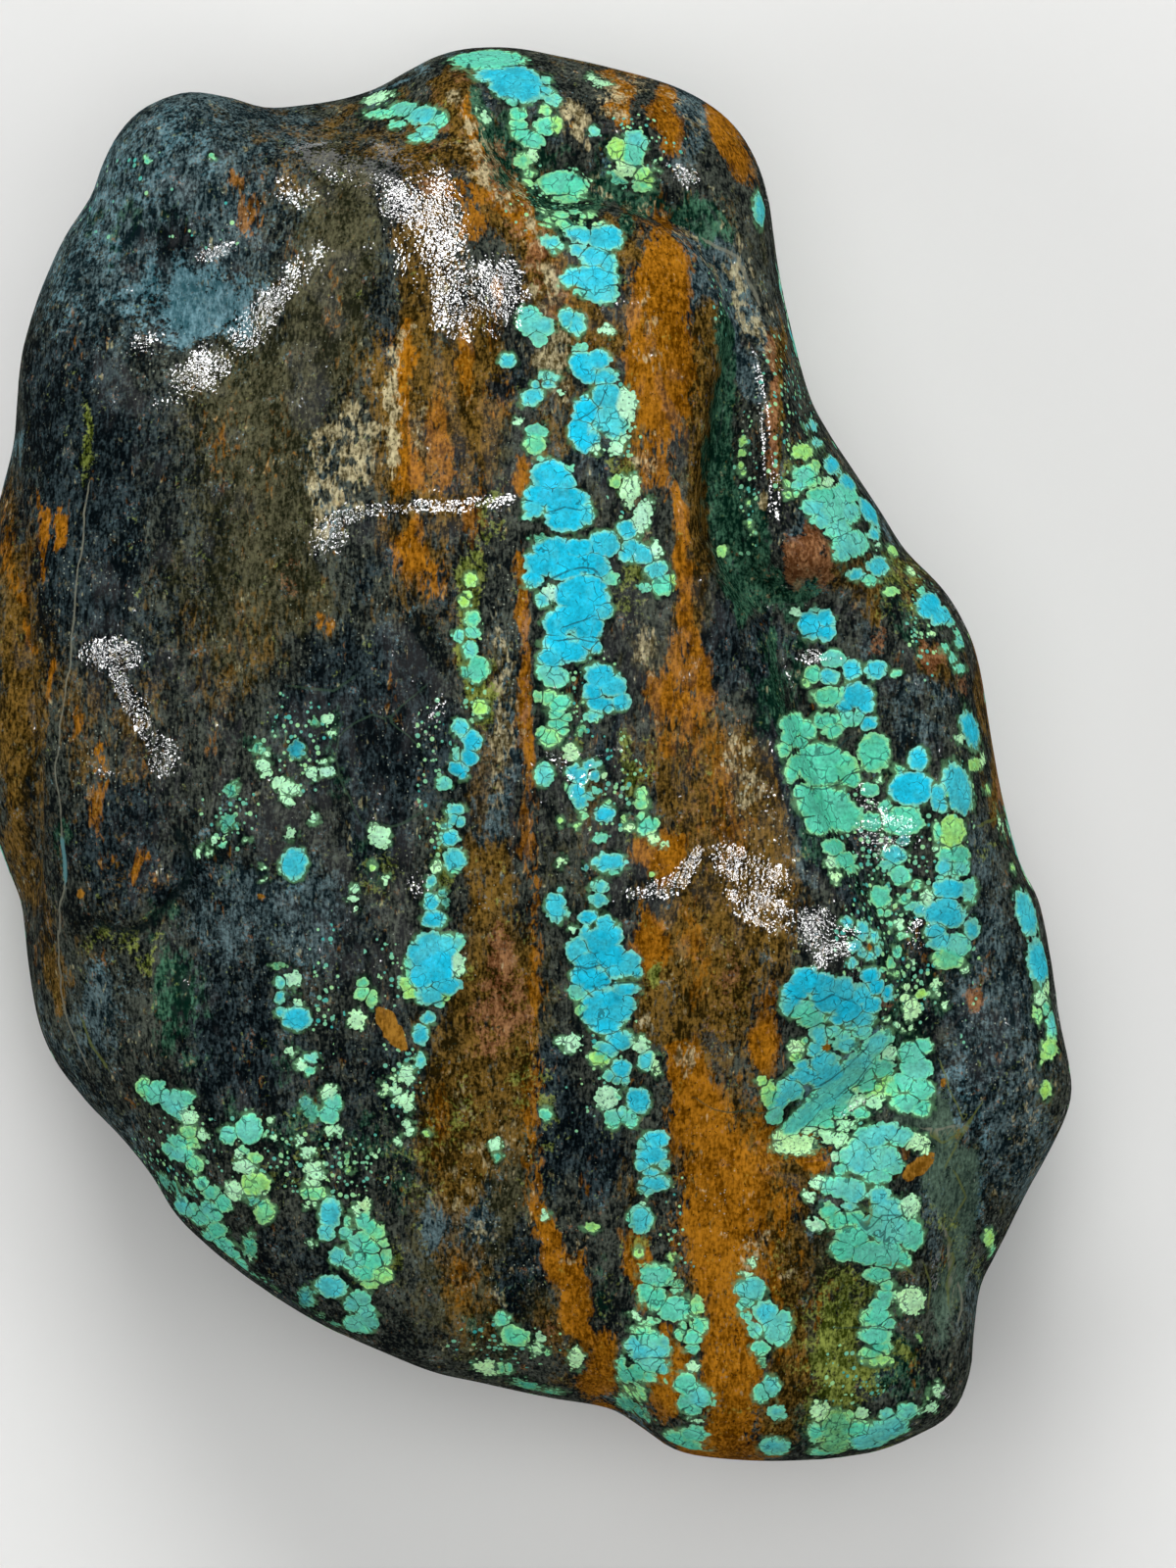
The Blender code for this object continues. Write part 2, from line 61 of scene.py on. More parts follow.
# The widest line: u, v on the plan and height in mm above the table, clockwise from the top end.
RIM = [
    (480, 49, 12.0), (520, 48, 12.5), (560, 54, 13.0), (620, 67, 13.5), (680, 85, 14.0), (720, 104, 14.0),
    (750, 128, 14.0), (771, 160, 14.0), (785, 200, 14.0), (791, 240, 13.5), (797, 280, 13.0), (805, 320, 13.0),
    (825, 400, 12.5), (845, 440, 12.5), (871, 480, 12.5), (898, 520, 12.5), (924, 560, 13.0), (961, 600, 13.0),
    (985, 640, 13.5), (998, 680, 14.0), (1010, 750, 14.0), (1022, 815, 14.0), (1039, 880, 14.0), (1058, 920, 13.5),
    (1071, 980, 13.0), (1080, 1040, 13.0), (1089, 1085, 13.0), (1091, 1120, 13.0), (1077, 1160, 13.0),
    (1045, 1220, 12.8), (1016, 1280, 12.2), (1000, 1315, 12.0), (993, 1360, 12.0), (989, 1400, 12.0),
    (971, 1440, 12.0), (930, 1466, 12.0), (885, 1482, 12.0), (820, 1489, 12.5), (745, 1489, 13.0), (692, 1480, 13.0),
    (655, 1457, 13.0), (620, 1436, 13.0), (560, 1424, 13.0), (500, 1411, 13.5), (440, 1397, 14.0), (380, 1374, 14.0),
    (320, 1346, 14.0), (270, 1315, 14.0), (225, 1281, 14.0), (183, 1240, 13.5), (158, 1200, 13.0), (126, 1160, 12.5),
    (89, 1120, 12.0), (59, 1081, 11.0), (42, 1040, 10.5), (31, 980, 10.5), (23, 925, 10.0), (8, 885, 9.5),
    (-12, 830, 9.2), (-25, 760, 9.0), (-28, 690, 9.0), (-24, 620, 9.2), (-12, 550, 9.6), (2, 495, 10.4),
    (14, 450, 11.4), (18, 410, 12.0), (24, 365, 13.0), (35, 320, 13.5), (49, 280, 14.0), (67, 240, 14.5),
    (92, 200, 15.0), (104, 168, 15.0), (120, 138, 15.0), (148, 110, 15.0), (190, 94, 15.0), (232, 98, 14.5),
    (270, 108, 14.0), (310, 106, 13.5), (350, 100, 13.0), (385, 90, 12.5), (415, 74, 12.0), (447, 57, 12.0),
]

# Broad worn faces: a point (u, v) on the plan, the face's height there in mm above the table, and its slope in mm per
# mm to the right and up the sheet.
FACETS_UP = [
    (300, 600, 29.6, 0.29, 0.02),  # left cheek
    (430, 1000, 28.4, 0.22, 0.30),  # lower left
    (650, 1060, 28.8, -0.06, 0.31),  # lower middle
    (850, 860, 27.0, -0.52, 0.05),  # right flank
    (700, 400, 28.6, -0.40, -0.12),  # upper right flank
    (560, 300, 29.6, -0.02, -0.40),  # top end
    (265, 330, 27.6, 0.36, -0.30),  # upper left shoulder
    (880, 1250, 23.0, -0.42, 0.34),  # foot
]
FACETS_DOWN = [
    (300, 1000, 2.0, -0.26, -0.22),
    (800, 1080, 2.0, 0.40, -0.16),
    (760, 480, 2.4, 0.42, 0.26),
    (330, 420, 1.4, -0.28, 0.26),
    (560, 1260, 1.8, 0.04, -0.44),
    (520, 260, 2.2, -0.04, 0.48),
]
FACET_SOFTNESS = 0.55  # per mm: how sharply two faces meet

# Swells (+) and hollows (-) of the upper side: u, v, half-width, half-height, turn in degrees, mm.
SWELLS = [
    (425, 235, 125, 105, 20, 1.5),  # brow
    (205, 325, 95, 55, 35, -1.6),  # dish under the shoulder
    (178, 160, 75, 65, 0, 1.0),  # shoulder
    (500, 92, 70, 34, 10, 0.9),  # crest behind the brow
    (655, 125, 60, 45, 10, 0.8),
    (290, 570, 130, 210, 0, 0.5),
    (610, 470, 55, 200, 4, 0.6),
    (665, 330, 48, 100, 0, 0.8),
    (832, 570, 38, 26, 25, 1.3),  # rust knob
    (788, 430, 18, 80, -6, 0.8),  # the groove's outer bank
    (858, 520, 40, 60, -35, 0.6),
    (835, 985, 62, 50, 0, 1.3),  # lump over the notch
    (965, 820, 40, 170, -6, 1.2),  # right ridge
    (885, 1240, 80, 75, 0, 1.0),
    (1052, 1105, 60, 46, 0, 0.8),  # elbow
    (810, 1420, 130, 60, 0, 0.7),  # foot
    (700, 1330, 60, 90, 0, -0.5),
    (560, 1160, 50, 160, 0, -0.5),
    (390, 830, 70, 150, 0, -0.6),
    (140, 700, 60, 120, 0, 0.5),
    (130, 1030, 60, 50, -40, -0.5),
    (250, 1180, 90, 70, -35, 0.6),
    (1000, 1250, 30, 60, 20, -0.8),
    (980, 990, 40, 60, 0, -0.7),
]

# Open grooves: stations (u, v, half-width, depth in mm) along the floor.
GROOVES = [
    [(245, 108, 24, 0.5), (300, 120, 26, 1.2), (365, 126, 26, 1.3), (430, 128, 26, 0.9), (470, 138, 20, 0.2)],
    [(750, 560, 20, 0.3), (785, 601, 20, 1.2), (830, 606, 18, 1.4), (862, 604, 16, 0.5)],
    [(612, 1010, 26, 0.2), (640, 1120, 26, 0.5), (655, 1230, 26, 0.5), (660, 1330, 22, 0.3)],
    [(552, 560, 20, 0.2), (548, 760, 22, 0.5), (552, 960, 22, 0.5), (545, 1120, 20, 0.3)],
    [(1012, 1296, 18, 0.8), (985, 1318, 22, 0.7), (955, 1345, 22, 0.2)],
    [(640, 1452, 30, 0.5), (632, 1410, 30, 0.4), (620, 1370, 26, 0.1)],
    [(215, 640, 40, 0.1), (180, 780, 40, 0.4), (165, 900, 36, 0.5), (190, 1000, 36, 0.3)],
]

# Lips: stations (u, v, drop in mm, run of the drop, reach of the hollow behind it) along an edge. The surface drops on
# the right-hand side going along, and climbs back gently over the reach.
LIPS = [
    [(720, 720, 0.0, 16, 60), (772, 622, 0.9, 16, 56), (745, 592, 2.2, 15, 50), (722, 548, 3.2, 15, 50),
     (718, 500, 3.6, 14, 52), (727, 440, 3.6, 13, 46), (736, 380, 3.2, 13, 42), (748, 325, 2.2, 14, 34),
     (735, 275, 2.2, 15, 38), (697, 232, 2.7, 15, 46), (650, 208, 2.9, 14, 52), (605, 200, 2.8, 15, 56),
     (562, 206, 2.8, 16, 60), (522, 186, 2.7, 15, 56), (499, 148, 2.1, 15, 46), (486, 108, 0.8, 16, 36)],
    [(905, 960, 0.6, 18, 44), (880, 905, 1.6, 18, 52), (848, 845, 2.3, 17, 60), (818, 770, 2.6, 15, 64),
     (800, 700, 2.5, 15, 62), (788, 645, 2.0, 16, 50), (768, 612, 1.0, 16, 40), (745, 590, 0.2, 16, 30)],
    [(948, 1085, 0.4, 18, 44), (905, 1130, 2.0, 15, 52), (858, 1163, 2.5, 14, 54), (812, 1176, 1.9, 14, 46),
     (780, 1180, 0.4, 16, 36)],  # under the lump
    [(55, 950, 0.2, 8, 40), (88, 948, 0.5, 8, 60), (125, 957, 0.7, 7, 70), (152, 945, 0.8, 7, 70), (176, 918, 0.7, 7, 70),
     (196, 898, 0.6, 8, 60), (214, 872, 0.3, 9, 50), (232, 840, 0.0, 10, 40)],  # a chipped edge low on the left
    [(22, 390, 0.3, 9, 20), (17, 450, 1.8, 8, 24), (19, 520, 3.2, 8, 30), (19, 600, 3.8, 8, 34), (21, 680, 4.0, 8, 36),
     (27, 740, 3.8, 8, 38), (32, 800, 3.2, 8, 38), (33, 860, 2.2, 8, 34), (30, 930, 1.2, 8, 28), (28, 1000, 0.2, 9, 24)],
]

# Dents (-) and knobs (+) of the flanks and the underside: x, y, z of the middle in mm, reach in mm, mm.
DENTS = [
    (-27, 6, 9, 6.0, -0.9), (-20, -19, 6, 6.0, -1.0), (-12, 30, 9, 6.5, -1.2), (3, 37, 8, 5.0, -0.8),
    (12, 24, 7, 6.0, -1.0), (22, 10, 7, 6.5, -1.2), (27, -8, 7, 5.0, 0.7), (26, -22, 6, 5.0, -0.9),
    (10, -36, 7, 5.5, -1.0), (-8, -31, 7, 6.0, -0.9), (-24, 18, 7, 5.0, 0.8), (18, -32, 5, 5.0, 0.7),
    (-15, -10, 1, 5.5, -0.9), (14, -14, 1, 5.5, -0.8), (10, 20, 1, 4.5, -0.6), (-14, 16, 1, 5.0, 0.6),
    (-3, 31, 3, 5.0, 0.8), (-18, -27, 10, 4.5, 0.7),
]
WAVES = [(11.0, 0.42), (5.5, 0.20), (2.7, 0.09), (1.3, 0.035)]  # wavelength and height in mm of the worn unevenness


# ---- noise -------------------------------------------------------------------------------------------------------
def hashed(ix, iy, iz, seed):
    """A fixed pseudo-random number in 0..1 for each whole-number lattice corner."""
    h = (ix * 374761393 + iy * 668265263 + iz * 2147483647 + seed * 1274126177) & 0xFFFFFFFF
    h = ((h ^ (h >> 13)) * 1274126177) & 0xFFFFFFFF
    h = ((h ^ (h >> 16)) * 2246822519) & 0xFFFFFFFF
    return ((h ^ (h >> 15)) & 0xFFFFFF) / float(0xFFFFFF)


def value_noise(p, seed=0):
    """Smooth lattice noise in -1..1 at points p (n, 3)."""
    base = np.floor(p).astype(np.int64)
    f = p - base
    f = f * f * f * (f * (f * 6 - 15) + 10)
    total = np.zeros(len(p))
    for dx in (0, 1):
        for dy in (0, 1):
            for dz in (0, 1):
                w = (
                    (f[:, 0] if dx else 1 - f[:, 0])
                    * (f[:, 1] if dy else 1 - f[:, 1])
                    * (f[:, 2] if dz else 1 - f[:, 2])
                )
                total += w * hashed(base[:, 0] + dx, base[:, 1] + dy, base[:, 2] + dz, seed)
    return total * 2 - 1


# ---- plan geometry -----------------------------------------------------------------------------------------------
def seen_at(p):
    """Plan station (u, v) of points p (n, 3) in mm: where the sight line through each meets the drawing."""
    grow = SIGHT_HEIGHT / (SIGHT_HEIGHT - (p[:, 2] - SIGHT_LEVEL))
    foot_x = (SIGHT_STATION[0] - PLAN_ORIGIN[0]) / UNITS_PER_MM
    foot_y = (PLAN_ORIGIN[1] - SIGHT_STATION[1]) / UNITS_PER_MM
    u = SIGHT_STATION[0] + (p[:, 0] - foot_x) * UNITS_PER_MM * grow
    v = SIGHT_STATION[1] - (p[:, 1] - foot_y) * UNITS_PER_MM * grow
    return u, v


def on_level(u, v, z):
    """The point (x, y) in mm at height z that the sight sees at plan station (u, v)."""
    shrink = (SIGHT_HEIGHT - (z - SIGHT_LEVEL)) / SIGHT_HEIGHT
    foot_x = (SIGHT_STATION[0] - PLAN_ORIGIN[0]) / UNITS_PER_MM
    foot_y = (PLAN_ORIGIN[1] - SIGHT_STATION[1]) / UNITS_PER_MM
    return (
        foot_x + (u - SIGHT_STATION[0]) / UNITS_PER_MM * shrink,
        foot_y + (SIGHT_STATION[1] - v) / UNITS_PER_MM * shrink,
    )


def rim_tables():
    """The rim against angle, in even steps: its radius, its radius evened out, and its height."""
    stations = np.array([[*on_level(u, v, z), z] for u, v, z in RIM])
    n = len(stations)
    t = np.linspace(0, 1, 24, endpoint=False)[:, None]
    line = []
    for i in range(n):
        a, b, c, d = (stations[(i + k - 1) % n] for k in range(4))
        line.append(
            0.5 * (2 * b + (c - a) * t + (2 * a - 5 * b + 4 * c - d) * t**2 + (3 * b - a - 3 * c + d) * t**3)
        )
    line = np.concatenate(line)
    angle = np.arctan2(line[:, 1], line[:, 0])
    order = np.argsort(angle)
    angle, line = angle[order], line[order]
    angle = np.concatenate([angle - 2 * math.pi, angle, angle + 2 * math.pi])
    line = np.concatenate([line, line, line])
    even = np.linspace(-math.pi, math.pi, 1440, endpoint=False)
    radius = np.interp(even, angle, np.hypot(line[:, 0], line[:, 1]))
    height = np.interp(even, angle, line[:, 2])
    spread = np.exp(-0.5 * ((even - even[0] + math.pi) % (2 * math.pi) - math.pi) ** 2 / OUTLINE_EASE**2)
    eased = np.real(np.fft.ifft(np.fft.fft(radius) * np.fft.fft(spread / spread.sum())))
    return even, radius, eased, height


def soft_least(values, softness):
    """The least of several surfaces, rounded where they meet."""
    values = np.stack(values)
    low = values.min(axis=0)
    return low - np.log(np.exp(-(values - low) * softness).sum(axis=0)) / softness


def along(u, v, stations):
    """Nearest point on a line of stations: distance, side (+ on the left going along), and their other values there."""
    best = np.full(len(u), 1e9)
    side = np.zeros(len(u))
    extra = np.zeros((len(stations[0]) - 2, len(u)))
    for a, b in zip(stations, stations[1:]):
        du, dv = b[0] - a[0], b[1] - a[1]
        t = np.clip(((u - a[0]) * du + (v - a[1]) * dv) / (du * du + dv * dv), 0, 1)
        gu, gv = u - a[0] - t * du, v - a[1] - t * dv
        d = np.hypot(gu, gv)
        nearer = d < best
        best = np.where(nearer, d, best)
        side = np.where(nearer, np.sign(du * gv - dv * gu) * -1.0, side)
        for k in range(len(extra)):
            extra[k] = np.where(nearer, a[2 + k] + t * (b[2 + k] - a[2 + k]), extra[k])
    return best, side, extra


def base_surface(d):
    """The stone before its relief: the point in mm for each unit direction d (n, 3)."""
    angles, radii, eased, heights = rim_tables()
    theta = np.arctan2(d[:, 1], d[:, 0])
    out = np.sqrt(np.clip(1 - d[:, 2] ** 2, 0, 1))
    above = d[:, 2] >= 0
    # Towards the middle the outline's bays and the rim's rise and fall are forgotten, so that nothing runs in as spokes.
    keep = np.clip((out - 0.5) / 0.5, 0, 1) ** np.where(above, 1.6, 2.4)
    radius = np.interp(theta, angles, eased, period=2 * math.pi)
    radius += keep * (np.interp(theta, angles, radii, period=2 * math.pi) - radius)
    level = RIM_LEVEL + keep * (np.interp(theta, angles, heights, period=2 * math.pi) - RIM_LEVEL)
    x, y = out * radius * np.cos(theta), out * radius * np.sin(theta)
    height = np.abs(d[:, 2])
    dome = level + (DOME_TOP - level) * height**0.94
    belly = level - (level - DOME_BOTTOM) * height**0.90

    def faces(listed):
        found = []
        for u, v, z, right, up in listed:
            fx, fy = on_level(u, v, z)
            found.append(z + right * (x - fx) + up * (y - fy))
        return found

    # The faces are left out at the very rim, where the stone turns over.
    inside = np.clip((1 - out) / 0.06, 0, 1)
    inside = inside * inside * (3 - 2 * inside)
    top = dome + inside * (soft_least([dome] + faces(FACETS_UP), FACET_SOFTNESS) - dome)
    low = belly + inside * (-soft_least([-belly] + [-f for f in faces(FACETS_DOWN)], FACET_SOFTNESS) - belly)
    return np.stack([x, y, np.where(above, top, low)], axis=1)


def relief_map():
    """The upper side's swells, grooves and lips in mm on a grid over the plan, with every edge eased."""
    us = np.arange(-80, 1180, MAP_STEP, dtype=float)
    vs = np.arange(-20, 1560, MAP_STEP, dtype=float)
    u, v = (g.ravel() for g in np.meshgrid(us, vs))
    push = np.zeros(len(u))
    for cu, cv, ru, rv, turn, amount in SWELLS:
        c, s = math.cos(math.radians(turn)), math.sin(math.radians(turn))
        a, b = ((u - cu) * c + (v - cv) * s) / ru, (-(u - cu) * s + (v - cv) * c) / rv
        push += amount * np.exp(-(a * a + b * b))
    for stations in GROOVES:
        d, _, (width, depth) = along(u, v, stations)
        push -= depth * np.exp(-((d / width) ** 2))
    for stations in LIPS:
        d, side, (drop, run, reach) = along(u, v, stations)
        s = -d * side
        fall = 0.5 + 0.5 * np.sin(np.clip(s / run, -1, 1) * math.pi / 2)
        push -= drop * fall * np.exp(-((np.maximum(s, 0) / reach) ** 2))
    push = push.reshape(len(vs), len(us))
    half = int(3 * MAP_EASE / MAP_STEP)
    kernel = np.exp(-0.5 * (np.arange(-half, half + 1) * MAP_STEP / MAP_EASE) ** 2)
    kernel /= kernel.sum()
    for _ in (0, 1):
        padded = np.pad(push, ((half, half), (0, 0)), mode="edge")
        push = sum(k * padded[i : i + push.shape[0]] for i, k in enumerate(kernel)).T
    return us, vs, push


def read_map(table, u, v):
    """The map's value at plan stations, between its grid points."""
    us, vs, values = table
    a = np.clip((u - us[0]) / MAP_STEP, 0, len(us) - 1.001)
    b = np.clip((v - vs[0]) / MAP_STEP, 0, len(vs) - 1.001)
    i, j = a.astype(int), b.astype(int)
    a, b = a - i, b - j
    return (
        values[j, i] * (1 - a) * (1 - b)
        + values[j, i + 1] * a * (1 - b)
        + values[j + 1, i] * (1 - a) * b
        + values[j + 1, i + 1] * a * b
    )


def relief(p, normal, waves):
    """The move in mm that the relief gives each point of the smooth stone."""
    u, v = seen_at(p)
    up = np.clip((normal[:, 2] + 0.05) / 0.45, 0, 1)
    up = up * up * (3 - 2 * up)
    # The rim keeps its drawn line: unevenness fades out where the surface stands upright.
    calm = np.clip(np.abs(normal[:, 2]) / 0.45, 0, 1)
    calm = 0.2 + 0.8 * calm * calm * (3 - 2 * calm)
    # Drawn relief goes mostly straight up and down, so that steep banks never fold; the rest goes along the normal.
    rise = normal * 0.35 + np.array([0, 0, 0.65])
    rise /= np.linalg.norm(rise, axis=1, keepdims=True)
    move = rise * (up * read_map(relief_map(), u, v))[:, None]
    push = np.zeros(len(p))
    for x, y, z, r, amount in DENTS:
        far = ((p - np.array([x, y, z])) ** 2).sum(axis=1) / (r * r)
        push += amount * np.exp(-far) * (1 - 0.6 * up) * calm
    for k, (length, height) in enumerate(waves):
        q = p / length * np.array([1.25, 0.7, 1.0])
        push += height * value_noise(q, seed=11 + k) * calm
    return move + normal * push[:, None]


def normals_of(points, quads):
    """Vertex normals of a mesh of four-sided faces."""
    a, b = points[quads[:, 2]] - points[quads[:, 0]], points[quads[:, 3]] - points[quads[:, 1]]
    face = np.cross(a, b)
    n = np.zeros_like(points)
    for k in range(4):
        np.add.at(n, quads[:, k], face)
    return n / np.maximum(np.linalg.norm(n, axis=1, keepdims=True), 1e-12)


